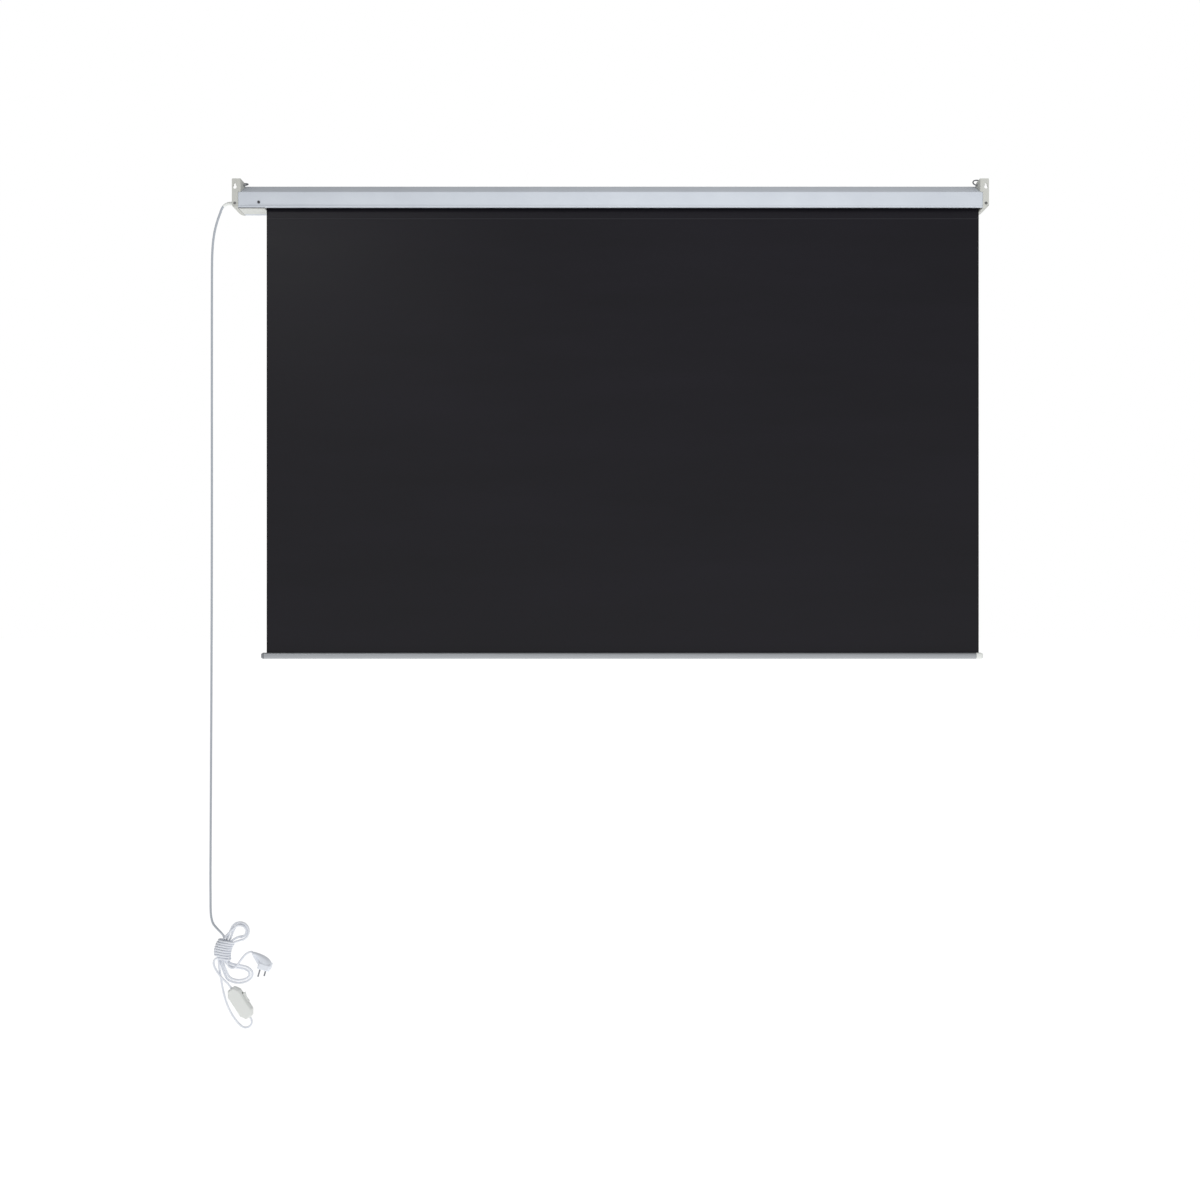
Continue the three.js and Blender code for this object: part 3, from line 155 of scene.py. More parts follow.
# %% The hank's layout
HANK_X = 926.8
HANK_HEIGHT = -1821.7
HANK_DEPTH = 26.0
WAIST_TILT = math.radians(14)
WAIST_HALF = 22.0
WAIST_BEND = 5.0
STRAND_PITCH = 6.85
LAYER_PITCH = 5.7
WRAP_STRAIGHT = 9.6
WRAP_RADIUS = 8.9
WRAP_PITCH = 5.95
WRAP_TURNS = 7.1
WRAP_FROM_TURN = 0.19
WRAP_TOP_SHARE = 0.96
WRAP_POINTS_PER_TURN = 16
LOOP_POINTS = 9
MIDDLE_STRAND = 1.5
EXIT_SHARES = np.array([-1.1, -0.6, 0.0, 0.6, 1.1])
FAR_LAYER = LAYER_PITCH / 2
NEAR_LAYER = -LAYER_PITCH / 2


def hank_points(right, rise, layer):
    """Points of the hank from arrays: X across, depth as Y, height as Z, from the waist's middle."""
    right, rise, layer = np.broadcast_arrays(right, rise, layer)
    return np.stack([HANK_X + right, -(HANK_DEPTH + layer), HANK_HEIGHT + rise], axis=-1)


def waist_points(offset, share, layer):
    """Along the tilted waist by share of its half length, bowed sideways by the share squared."""
    sideways = offset - WAIST_BEND * share * share
    along = WAIST_HALF * share
    right = -math.sin(WAIST_TILT) * along + math.cos(WAIST_TILT) * sideways
    rise = math.cos(WAIST_TILT) * along + math.sin(WAIST_TILT) * sideways
    return hank_points(right, rise, layer)


def strand(position, layer, rising):
    """A straight run through the waist, one of four side by side."""
    points = waist_points((MIDDLE_STRAND - position) * STRAND_PITCH, EXIT_SHARES, layer)
    return points if rising else points[::-1]


def loop(centre, radii, from_degrees, to_degrees, from_layer, to_layer):
    """An ellipse from one angle to another, easing from one layer to the other as it goes."""
    share = np.linspace(0, 1, LOOP_POINTS)
    angle = np.radians(from_degrees + (to_degrees - from_degrees) * share)
    layer = from_layer + (to_layer - from_layer) * share * share * (3 - 2 * share)
    right = centre[0] + radii[0] * np.cos(angle)
    rise = centre[1] + radii[1] * np.sin(angle)
    return hank_points(right, rise, layer)


def wrap():
    """A helix round the waist from its top down; each turn has two flat faces and two half rounds."""
    count = round(WRAP_TURNS * WRAP_POINTS_PER_TURN)
    turn = WRAP_TURNS * np.arange(count + 1) / count
    quarter = math.pi / 2 * WRAP_RADIUS
    half = 2 * quarter + 2 * WRAP_STRAIGHT
    travelled = ((WRAP_FROM_TURN + turn) % 1) * 2 * half
    side = np.where(travelled < half, 1, -1)
    along = travelled % half
    round_in = np.minimum(along, quarter) / WRAP_RADIUS
    round_out = np.maximum(along - half + quarter, 0) / WRAP_RADIUS
    angle = round_in + round_out
    straight = np.clip(along - quarter, 0, 2 * WRAP_STRAIGHT)
    run = side * (straight - WRAP_STRAIGHT - WRAP_RADIUS * np.cos(angle))
    rise = WAIST_HALF * WRAP_TOP_SHARE - WRAP_PITCH * turn
    return waist_points(run, rise / WAIST_HALF, -side * WRAP_RADIUS * np.sin(angle))


print("hank layout: waist", 2 * WAIST_HALF, "mm long,", WRAP_TURNS, "turns round it")

# %% The two cords' points
CORD_DIAMETER = 5.2
GLAND_END_X = 908.4
SEAT_GAP = 0.3
TOP_LOOP = (-41.0, 43.0)
BOTTOM_LOOP = (-37.0, -61.0)
OUTER_TOP = (22.0, 20.3)
INNER_TOP = (15.8, 14.3)
OUTER_BOTTOM = (33.0, 21.0)
INNER_BOTTOM = (25.6, 14.2)
SWITCH_PLACE = hank_points(-42.1, -128.5, 0.0)
SWITCH_TURN = math.radians(-123)
SWITCH_LENGTH = 82.0
PLUG_PLACE = hank_points(-100.3, -40.1, 0.0)
PLUG_TURN = math.radians(-164)
PLUG_ENTRY = np.array([-36.8, -21.5])
RELIEF_TOWARDS = np.array([-13.0, -3.0])
STRAIGHT_LEAD = 4.0
STRAIGHT_END = 3.0


def turned(place, turn, across, up):
    """A point given in a hanging piece's own plane, turned about the depth axis into the frame."""
    right = across * math.cos(turn) - up * math.sin(turn)
    rise = across * math.sin(turn) + up * math.cos(turn)
    return place + np.stack([right, 0.0 * right, rise], axis=-1)


def switch_end(distance):
    return turned(SWITCH_PLACE, SWITCH_TURN, distance, 0.0)


def plug_entry(distance):
    run = RELIEF_TOWARDS - PLUG_ENTRY
    place = PLUG_ENTRY - run / np.linalg.norm(run) * distance
    return turned(PLUG_PLACE, PLUG_TURN, place[0], place[1])


def free_points(*rows):
    """Given points of a hank's free end, as right, rise and layer."""
    rows = np.array(rows, dtype=float)
    return hank_points(rows[:, 0], rows[:, 1], rows[:, 2])


motor_drop = np.array([
    [GLAND_END_X + SEAT_GAP, -26, -38],
    [911.2, -26, -38],
    [915.7, -26, -38.7],
    [921, -26, -41],
    [925.6, -26, -44.6],
    [929.2, -26, -49.6],
    [934, -26, -62],
    [940, -26, -79],
    [946, -26, -101],
    [950.6, -26, -130],
    [952.6, -26, -160],
    [953.2, -26, -190],
    [953.6, -26, -420],
    [953.6, -26, -800],
    [954.6, -26, -1200],
    [956.6, -26.5, -1560],
    [957.2, -27.5, -1690],
    [956, -28.4, -1744],
])
motor_route = np.vstack([
    motor_drop,
    free_points(
        (24.5, 60, FAR_LAYER), (15.5, 48.5, FAR_LAYER), (5.5, 38, FAR_LAYER), (-0.5, 30.3, FAR_LAYER)),
    strand(0, FAR_LAYER, False),
    loop(BOTTOM_LOOP, OUTER_BOTTOM, -5, -262, FAR_LAYER, FAR_LAYER),
    free_points((-30, -38.6, FAR_LAYER), (-17, -34.6, FAR_LAYER)),
    strand(3, FAR_LAYER, True),
    loop(TOP_LOOP, INNER_TOP, 275, 15, FAR_LAYER, FAR_LAYER),
    strand(2, FAR_LAYER, False),
    free_points((-6.6, -34, FAR_LAYER), (-14, -40.6, FAR_LAYER), (-26, -44.6, FAR_LAYER)),
    loop(BOTTOM_LOOP, INNER_BOTTOM, 100, 345, FAR_LAYER, FAR_LAYER),
    strand(1, FAR_LAYER, True),
    loop(TOP_LOOP, OUTER_TOP, 35, 265, FAR_LAYER, -WRAP_RADIUS),
    free_points((-34, 20, -WRAP_RADIUS), (-26.5, 17, -WRAP_RADIUS)),
    wrap(),
    free_points(
        (11, -19.8, -WRAP_RADIUS), (17, -23, -8.7), (19.8, -31, -8.8), (17, -42, -8.8),
        (10.5, -53, -8.8), (2.5, -63.5, -8.6), (-5, -73, -6.5), (-12, -82.5, -2)),
    switch_end(-SWITCH_LENGTH / 2 - STRAIGHT_LEAD),
    switch_end(-SWITCH_LENGTH / 2 - SEAT_GAP),
])
plug_route = np.vstack([
    switch_end(SWITCH_LENGTH / 2 + SEAT_GAP),
    switch_end(SWITCH_LENGTH / 2 + STRAIGHT_LEAD),
    free_points(
        (-68.9, -173.5, 0), (-67.6, -180, -0.2), (-62.5, -185.7, -0.5), (-55, -187.8, -0.8),
        (-46.5, -185.4, -1.2), (-31, -169, -2), (-18, -148, -2.5), (-8, -124, NEAR_LAYER),
        (-1, -98, NEAR_LAYER), (3.5, -74, NEAR_LAYER), (6.5, -54, NEAR_LAYER), (8.8, -38, NEAR_LAYER)),
    strand(0, NEAR_LAYER, True),
    loop(TOP_LOOP, INNER_TOP, 40, 285, NEAR_LAYER, NEAR_LAYER),
    strand(3, NEAR_LAYER, False),
    free_points(
        (-12.2, -36, NEAR_LAYER - 0.5), (-18, -43, NEAR_LAYER - 1), (-27, -44, NEAR_LAYER - 1.5),
        (-35, -38, NEAR_LAYER - 2), (-42, -28, -4), (-50, -17.5, -2.5), (-57.5, -10.5, -1)),
    plug_entry(STRAIGHT_END),
    plug_entry(SEAT_GAP),
])
print("routes:", len(motor_route), "and", len(plug_route), "points")

# %% [markdown]
# ## From points to a round cord
# A centripetal Catmull-Rom curve passes through every point and never overshoots in tight turns. It is
# walked in even steps, and a ring of points is carried along it. The ring's frame turns as little as
# it can from one step to the next, so the cord doesn't look twisted.


# %% Curves and swept tubes
SAMPLES_PER_SPAN = 24


def smooth_path(points, spacing):
    """Hermite pieces between points, with slopes from root-distance knots, resampled to even steps."""
    padded = np.vstack([2 * points[0] - points[1], points, 2 * points[-1] - points[-2]])
    p0, p1, p2, p3 = padded[:-3], padded[1:-2], padded[2:-1], padded[3:]
    spans = ((p0, p1), (p1, p2), (p2, p3))
    d0, d1, d2 = (np.linalg.norm(b - a, axis=1, keepdims=True) ** 0.5 for a, b in spans)
    leaving = ((p1 - p0) / d0 - (p2 - p0) / (d0 + d1) + (p2 - p1) / d1) * d1
    arriving = ((p2 - p1) / d1 - (p3 - p1) / (d1 + d2) + (p3 - p2) / d2) * d1
    t = np.linspace(0, 1, SAMPLES_PER_SPAN, endpoint=False)[None, :, None]
    fine = (
        (2 * t**3 - 3 * t**2 + 1) * p1[:, None]
        + (t**3 - 2 * t**2 + t) * leaving[:, None]
        + (3 * t**2 - 2 * t**3) * p2[:, None]
        + (t**3 - t**2) * arriving[:, None]
    ).reshape(-1, 3)
    fine = np.vstack([fine, points[-1]])
    travelled = np.append(0, np.cumsum(np.linalg.norm(np.diff(fine, axis=0), axis=1)))
    even = np.linspace(0, travelled[-1], max(2, round(travelled[-1] / spacing)) + 1)
    return np.stack([np.interp(even, travelled, fine[:, axis]) for axis in range(3)], axis=-1)


def path_frames(path):
    """Tangents, and a normal carried from ring to ring, less its part along each new tangent."""
    tangent = np.gradient(path, axis=0)
    tangent /= np.linalg.norm(tangent, axis=1, keepdims=True)
    normal = np.empty_like(tangent)
    start = np.cross(tangent[0], (0.0, 1.0, 0.0))
    normal[0] = start / np.linalg.norm(start)
    for ring in range(1, len(path)):
        turned_on = normal[ring - 1] - tangent[ring] * (normal[ring - 1] @ tangent[ring])
        normal[ring] = turned_on / np.linalg.norm(turned_on)
    return tangent, normal, np.cross(tangent, normal)


def swept(name, path, radius, sides):
    """A ring of the given radius, or of one radius for each step, carried along the path."""
    normal, binormal = path_frames(path)[1:]
    angle = np.linspace(0, 2 * math.pi, sides, endpoint=False)[None, :, None]
    radius = np.broadcast_to(radius, len(path))[:, None, None]
    spoke = np.cos(angle) * normal[:, None] + np.sin(angle) * binormal[:, None]
    rings = path[:, None] + radius * spoke
    travelled = np.append(0, np.cumsum(np.linalg.norm(np.diff(path, axis=0), axis=1)))
    uv = np.stack(np.broadcast_arrays(travelled[:, None], angle[:, :, 0]), axis=-1).reshape(-1, 2)
    return tube_piece(name, rings, uv)


def path_length(path):
    return float(np.linalg.norm(np.diff(path, axis=0), axis=1).sum())


print("curve helpers ready")

# %% Sweep the cords
CORD_STEP = 1.8
CORD_SIDES = 14

motor_path = smooth_path(motor_route, CORD_STEP) * MM
plug_path = smooth_path(plug_route, CORD_STEP) * MM
motor_cord = swept("motor_cord", motor_path, CORD_DIAMETER / 2 * MM, CORD_SIDES)
plug_cord = swept("plug_cord", plug_path, CORD_DIAMETER / 2 * MM, CORD_SIDES)
print(f"motor cord {path_length(motor_path):.3f} m, plug cord {path_length(plug_path):.3f} m")

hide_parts("power_cord_drop", "motor_cord_hank", "switch_lead")
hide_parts("switch_outlet_cord", "plug_cord_hank", "plug_lead")
for cord in (motor_cord, plug_cord):
    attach(cord, "case")
print("cords ride on the case")

# %% [markdown]
# ## The strain relief at the gland
# A moulded nipple grips the cord where it leaves the cap: a flange on the cap's end face, then a
# tapered sleeve whose ribs let it bend with the cord. Its rings are carried along the cord's own path,
# so sleeve and cord bend together.

# %% Strain relief
GLAND_DEPTH = 26.0
GLAND_HEIGHT = -38.0
CAP_FACE_X = 901.6
PLUG_DEPTH = 5.4
PLUG_RADIUS = 4.5
FLANGE_RADIUS = 7.5
FLANGE_THICKNESS = 2.0
FLANGE_FLAT = 1.2
FLANGE_FALL = 0.6
RELIEF_LENGTH = 26.0
RELIEF_STEP = 0.35
RELIEF_SIDES = 40
RELIEF_RIBS = 7
RIB_DEPTH = 0.75
RIB_POWER = 0.6
SLEEVE_RADIUS = 4.7
SLEEVE_TAPER = 1.6
LIP_FROM = 0.93
DROP_POINTS_INSIDE = 8
relief_start = np.array([CAP_FACE_X - PLUG_DEPTH, -GLAND_DEPTH, GLAND_HEIGHT])
relief_mouth = np.array([CAP_FACE_X, -GLAND_DEPTH, GLAND_HEIGHT])
relief_route = np.vstack([relief_start, relief_mouth, motor_drop[:DROP_POINTS_INSIDE]])
relief_path = smooth_path(relief_route, RELIEF_STEP)
relief_travel = np.append(0, np.cumsum(np.linalg.norm(np.diff(relief_path, axis=0), axis=1)))
flange_from = CAP_FACE_X + SEAT_GAP - relief_start[0]
relief_path = relief_path[relief_travel < flange_from + RELIEF_LENGTH]
relief_travel = relief_travel[:len(relief_path)]


def relief_radius(travel):
    """A plug in the bore, a flange, then a taper with a groove after each rib, ending in a thin lip."""
    past = travel - flange_from
    share = np.clip((past - FLANGE_THICKNESS) / (RELIEF_LENGTH - FLANGE_THICKNESS), 0, 1)
    ribs = 0.5 * (1 + np.cos(2 * math.pi * share * RELIEF_RIBS))
    grooved = (share > 0) * (share < LIP_FROM)
    sleeve = SLEEVE_RADIUS - SLEEVE_TAPER * share - RIB_DEPTH * (1 - ribs**RIB_POWER) * grooved
    rounding = np.clip((past - FLANGE_FLAT) / (FLANGE_THICKNESS - FLANGE_FLAT), 0, 1)
    flange = FLANGE_RADIUS - FLANGE_FALL * rounding**2
    return np.where(past < 0, PLUG_RADIUS, np.where(past < FLANGE_THICKNESS, flange, sleeve))


relief = swept("gland_relief", relief_path * MM, relief_radius(relief_travel) * MM, RELIEF_SIDES)
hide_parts("cable_gland")
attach(relief, "case")
print("strain relief", RELIEF_LENGTH, "mm long with", RELIEF_RIBS, "ribs")

# %% [markdown]
# ## Shader sums written as sums
# A node tree is easier to read as an expression. One small class wraps a socket, so that adding or
# multiplying two of them adds a Math node, and a second one makes a material and any other node in it.


# %% Sums of sockets
class Flow:
    """A shader socket that takes part in sums like a number."""

    def __init__(self, tree, socket):
        self.tree = tree
        self.socket = socket

    def maths(self, operation, first, second, clamp=False):
        node = self.tree.nodes.new("ShaderNodeMath")
        node.operation = operation
        node.use_clamp = clamp
        for place, term in zip(node.inputs, (first, second)):
            if isinstance(term, Flow):
                self.tree.links.new(term.socket, place)
            else:
                place.default_value = term
        return Flow(self.tree, node.outputs[0])

    def __add__(self, other):
        return self.maths("ADD", self, other)

    def __radd__(self, other):
        return self.maths("ADD", other, self)

    def __sub__(self, other):
        return self.maths("SUBTRACT", self, other)

    def __rsub__(self, other):
        return self.maths("SUBTRACT", other, self)

    def __mul__(self, other):
        return self.maths("MULTIPLY", self, other)

    def __rmul__(self, other):
        return self.maths("MULTIPLY", other, self)

    def __gt__(self, other):
        return self.maths("GREATER_THAN", self, other)

    def __lt__(self, other):
        return self.maths("LESS_THAN", self, other)

    def sine(self):
        return self.maths("SINE", self, 0.0)

    def clamped(self):
        return self.maths("ADD", self, 0.0, clamp=True)


print("sums of sockets ready")


# %% Materials and their nodes
class Finish:
    """A material with one Principled shader, whose fixed numbers are set on the shader itself."""

    def __init__(self, name, **fixed):
        self.material = bpy.data.materials.new(name)
        self.material.use_nodes = True
        self.tree = self.material.node_tree
        self.shader = self.tree.nodes["Principled BSDF"]
        for socket, value in fixed.items():
            self.shader.inputs[socket.replace("_", " ")].default_value = value

    def node(self, kind, settings=None, inputs=None, output=0):
        """Any node: its settings first, then the values or links of its sockets."""
        made = self.tree.nodes.new(kind)
        for setting, value in (settings or {}).items():
            setattr(made, setting, value)
        for socket, value in (inputs or {}).items():
            if isinstance(value, Flow):
                self.tree.links.new(value.socket, made.inputs[socket])
            else:
                made.inputs[socket].default_value = value
        return Flow(self.tree, made.outputs[output])

    def places(self, scale=(1, 1, 1)):
        """Object coordinates in metres, stretched along each axis."""
        here = self.node("ShaderNodeTexCoord", output="Object")
        return self.node("ShaderNodeMapping", inputs={"Vector": here, "Scale": scale})

    def axes(self):
        """Object coordinates along X, Y and Z, each a number of metres."""
        here = self.node("ShaderNodeTexCoord", output="Object")
        split = self.node("ShaderNodeSeparateXYZ", inputs={"Vector": here})
        return [Flow(self.tree, axis) for axis in split.socket.node.outputs]

    def noise(self, scale, detail=3.0, roughness=0.55, stretch=(1, 1, 1)):
        inputs = {"Scale": scale, "Detail": detail, "Roughness": roughness}
        return self.node("ShaderNodeTexNoise", inputs={"Vector": self.places(stretch), **inputs})

    def mixed(self, share, first, second):
        """A colour between two, by a share from 0 to 1; a Mix node has its colours at places 6 and 7."""
        return self.node(
            "ShaderNodeMix", {"data_type": "RGBA"}, inputs={0: share, 6: first, 7: second}, output=2)

    def feed(self, socket, flow):
        self.tree.links.new(flow.socket, self.shader.inputs[socket])

    def bump(self, height, depth, strength=1.0):
        """Relief whose depth is in metres."""
        inputs = {"Height": height, "Distance": depth, "Strength": strength}
        self.feed("Normal", self.node("ShaderNodeBump", inputs=inputs))


def grey(red, green, blue):
    """A colour as seen on screen, 0 to 255, as the linear value that a shader takes."""
    shares = np.array([red, green, blue]) / 255
    linear = np.where(shares <= 0.04045, shares / 12.92, ((shares + 0.055) / 1.055) ** 2.4)
    return (*(float(value) for value in linear), 1.0)


print("shader helpers ready")

# %% [markdown]
# ## Paint and moulded plastic
# The case is steel with a pale grey powder coat, which dries with a faint orange-peel relief. The end
# caps are moulded in a duller grey with an eroded texture. Both are a little dirtier in places, so
# slow noise shifts their colour by a few hundredths.


# %% Paint and plastics
DRIFT = {"scale": 9.0, "detail": 4.0, "roughness": 0.6}
DRIFT_CONTRAST = 1.7
DRIFT_OFFSET = 0.35
GLOSS_SPREAD = 0.1
PLASTICS = {
    # finish: light colour, dark colour, roughness, grains in a metre, depth of the grain
    "case_powder_coat": (grey(207, 213, 221), grey(197, 203, 212), 0.42, 900, 0.00006),
    "cap_moulding": (grey(202, 203, 198), grey(192, 193, 187), 0.55, 1600, 0.00005),
    "cover_moulding": (grey(212, 214, 210), grey(203, 205, 201), 0.5, 1500, 0.00004),
    "white_moulding": (grey(240, 242, 239), grey(232, 235, 232), 0.38, 1800, 0.00003),
    "plug_moulding": (grey(243, 247, 254), grey(236, 241, 250), 0.38, 1800, 0.00003),
    "grey_moulding": (grey(142, 145, 150), grey(128, 131, 136), 0.5, 1500, 0.00004),
    "black_moulding": (grey(38, 38, 41), grey(30, 30, 33), 0.5, 1500, 0.00005),
}


def textured(name, light, dark, roughness, grain, depth):
    """A finish whose colour drifts slowly between two near ones, over a fine even grain."""
    made = Finish(name)
    drift = made.noise(**DRIFT)
    fine = made.noise(grain, detail=2.0, roughness=0.5)
    made.feed("Base Color", made.mixed((DRIFT_CONTRAST * drift - DRIFT_OFFSET).clamped(), dark, light))
    made.feed("Roughness", roughness - GLOSS_SPREAD / 2 + GLOSS_SPREAD * fine)
    made.bump(fine, depth)
    return made.material


case_paint, cap_plastic, cover_plastic, white_plastic, plug_plastic, grey_plastic, black_plastic = (
    textured(name, *looks) for name, looks in PLASTICS.items())
print("made", ", ".join(PLASTICS))

# %% [markdown]
# ## Metals
# The bottom bar and the roller are drawn aluminium, so their fine lines run along X: noise that
# changes three hundred times faster across the bar than along it gives them. Zinc on the rings and
# brackets is mottled in small spangles, and the screws are blackened steel, worn paler on the two
# that hold the end caps.


# %% Metals
DRAWN_LINES = {"scale": 40.0, "detail": 4.0, "roughness": 0.6, "stretch": (0.12, 40, 40)}
DRAWN_METALLIC = 0.75
DRAWN_DEPTH = 0.00002
DRAWN_GLOSS_SPREAD = 0.16
SPANGLE_METALLIC = 0.85
SPANGLE_DEPTH = 0.00003
SPANGLE_GLOSS_SPREAD = 0.2
CELL_SHARE = 0.6
HAZE_FINENESS = 3


def drawn_metal(name, light, dark, roughness):
    """Metal with lines along X: noise that is long in X and fine across it."""
    made = Finish(name, Metallic=DRAWN_METALLIC)
    lines = made.noise(**DRAWN_LINES)
    made.feed("Base Color", made.mixed(lines, dark, light))
    made.feed("Roughness", roughness - DRAWN_GLOSS_SPREAD / 2 + DRAWN_GLOSS_SPREAD * lines)
    made.bump(lines, DRAWN_DEPTH)
    return made.material


def spangled_metal(name, light, dark, roughness, scale):
    """Metal whose small crystal cells differ a little in colour and gloss."""
    made = Finish(name, Metallic=SPANGLE_METALLIC)
    cells = made.node("ShaderNodeTexVoronoi", inputs={"Vector": made.places(), "Scale": scale})
    haze = made.noise(scale * HAZE_FINENESS)
    made.feed("Base Color", made.mixed(CELL_SHARE * cells + (1 - CELL_SHARE) * haze, dark, light))
    made.feed("Roughness", roughness - SPANGLE_GLOSS_SPREAD / 2 + SPANGLE_GLOSS_SPREAD * haze)
    made.bump(haze, SPANGLE_DEPTH)
    return made.material


bar_metal = drawn_metal("drawn_aluminium", grey(184, 187, 191), grey(160, 163, 167), 0.42)
zinc = spangled_metal("zinc_plate", grey(158, 160, 165), grey(118, 121, 126), 0.38, 400)
dark_steel = spangled_metal("blackened_steel", grey(88, 89, 93), grey(62, 63, 66), 0.45, 900)
worn_steel = spangled_metal("worn_steel", grey(148, 148, 147), grey(118, 118, 118), 0.45, 900)
print("metals made")

# %% [markdown]
# ## Cloth with a black back
# The screen cloth is a thin coated weave: black on the wall side, so that no light comes through, and
# matt white on the viewing side with a black border. Both sides have the weave's fine relief, and the
# two sides are two materials on one closed sheet.

# %% Cloth finishes
WEAVE_PITCH = 0.0009
WEAVE_DEPTH = 0.00002
WEAVE_STRENGTH = 0.6
BORDER_SIDE = 0.025
BORDER_TOP = 0.12
BORDER_BOTTOM = 0.025
CREASE_HEIGHT = -0.0759
CREASE_HALF = 0.0011
EDGE_WIDTH = 0.0022
PICTURE_ROUGHNESS = 0.75
PICTURE_SPREAD = 0.1
PICTURE_MARKS = 30.0
BACKING_GLOSS = 0.24
BACKING_ROUGHNESS = 0.34
BACKING_SPREAD = 0.12
ROLLED_MARKS = {"scale": 3.0, "detail": 4.0, "roughness": 0.6, "stretch": (0.5, 1, 3)}
ROLLED_CONTRAST = 1.5
ROLLED_OFFSET = 0.25


def weave(made):
    """Two sets of threads at right angles: a quarter of two sines, along X and along Z, plus a half."""
    across, _, up = made.axes()
    rate = 2 * math.pi / WEAVE_PITCH
    return across, up, 0.25 * ((across * rate).sine() + (up * rate).sine()) + 0.5


def black_backing(low, high):
    """Black coating with a low soft sheen, a little uneven in gloss where the cloth was rolled, with a
    painted highlight along the crease where it hung on the case's edge, and darker cut edges."""
    made = Finish("black_backing", Specular_IOR_Level=BACKING_GLOSS)
    across, up, threads = weave(made)
    rolled = made.noise(**ROLLED_MARKS)
    shade = (ROLLED_CONTRAST * rolled - ROLLED_OFFSET).clamped()
    plain = made.mixed(shade, grey(13, 12, 18), grey(20, 18, 26))
    # Painted highlight: the crease band gets a lighter colour, standing in for light caught on its ridge.
    crease = (up > CREASE_HEIGHT - CREASE_HALF) * (up < CREASE_HEIGHT + CREASE_HALF)
    crease_highlighted = made.mixed(crease, plain, grey(33, 33, 38))
    edge = (across < low[0] + EDGE_WIDTH) + (across > high[0] - EDGE_WIDTH)
    made.feed("Base Color", made.mixed(edge, crease_highlighted, grey(6, 6, 7)))
    made.feed("Roughness", BACKING_ROUGHNESS + BACKING_SPREAD * rolled)
    made.bump(threads, WEAVE_DEPTH, WEAVE_STRENGTH)
    return made.material


def picture_side(low, high):
    """Matt white inside a black border, whose edges are steps across X and Z."""
    made = Finish("picture_side")
    across, up, threads = weave(made)
    inside = (
        (across > low[0] + BORDER_SIDE)
        * (across < high[0] - BORDER_SIDE)
        * (up > low[2] + BORDER_BOTTOM)
        * (up < high[2] - BORDER_TOP)
    )
    made.feed("Base Color", made.mixed(inside, grey(28, 28, 30), grey(238, 239, 240)))
    made.feed("Roughness", PICTURE_ROUGHNESS + PICTURE_SPREAD * made.noise(PICTURE_MARKS))
    made.bump(threads, WEAVE_DEPTH, WEAVE_STRENGTH)
    return made.material


print("cloth finishes ready")

# %% [markdown]
# ## The cord's sheath
# The sheath is smooth white plastic over three cores, whose twist shows as a soft ripple. The long
# drop hangs in the open and is painted greyer than the hank, as painted shade: a share of the height,
# times a share of the distance to the side, darkens the drop alone.

# %% Cord jacket
JACKET_ROUGHNESS = 0.34
JACKET_SPREAD = 0.1
RIPPLE = {"scale": 420.0, "detail": 2.0, "roughness": 0.5, "stretch": (1, 1, 0.25)}
RIPPLE_DEPTH = 0.00006
HAZE_SCALE = 60.0
HANK_TOP = -1.81
DROP_SHADE_OVER = 0.04
DROP_SIDE = 0.912
SIDE_OVER = 0.01


def cord_jacket():
    """Smooth white sheath, very slightly mottled, with the soft ripple of the cores under it. The long
    drop, which hangs in the open beside the hank's loops, is painted greyer than they are, as painted shade."""
    made = Finish("cord_jacket")
    haze = made.noise(HAZE_SCALE)
    across, _, up = made.axes()
    above = ((up - HANK_TOP) * (1 / DROP_SHADE_OVER)).clamped()
    beside = ((across - DROP_SIDE) * (1 / SIDE_OVER)).clamped()
    # Painted shade: the drop is tinted grey, standing in for the shade on the thin cord hanging in the open.
    drop_shade = above * beside
    unshaded_jacket = made.mixed(haze, grey(234, 239, 248), grey(244, 246, 251))
    made.feed("Base Color", made.mixed(drop_shade, unshaded_jacket, grey(176, 182, 190)))
    made.feed("Roughness", JACKET_ROUGHNESS + JACKET_SPREAD * haze)
    made.bump(made.noise(**RIPPLE), RIPPLE_DEPTH)
    return made.material


print("jacket greyer above", HANK_TOP, "m")

# %% Finish the cloth and the cords
cloth_low, cloth_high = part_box("screen_fabric")
backing = black_backing(cloth_low, cloth_high)
picture = picture_side(cloth_low, cloth_high)
cord_finish = cord_jacket()
for cord in (motor_cord, plug_cord):
    cord.data.materials.append(cord_finish)
relief.data.materials.append(white_plastic)
print("cloth from", [round(v, 3) for v in cloth_low], "to", [round(v, 3) for v in cloth_high])

# %% [markdown]
# ## The hanging cloth
# A flat sheet looks dead, because a real one hangs in long shallow waves that its bar can't quite pull
# straight. The sheet is a closed loop of points, there and back across the width, repeated down the
# height. The waves fade to nothing towards the roller and the bar, where the cloth is held flat.

# %% Hanging cloth
CLOTH_COLUMNS = 120
CLOTH_ROWS = 110
WAVE_DEPTH = 0.0008
# each wave: its share of the depth, radians in a metre of X and of Z, and where it starts
WAVES = [(0.5, 9.1, 2.3, 0.4), (0.3, 17.3, -3.1, 1.9), (0.2, 4.3, 8.7, 2.8)]
FLAT_SHARE = 0.12
FADE_RATE = 12
CREASE_ROWS = np.linspace(-0.004, 0.004, 9)
CREASE_DEPTH = 0.00025
CREASE_SPREAD = 0.0012
FOLD_ANGLE = math.radians(50)
FRONT_NORMAL = -0.5


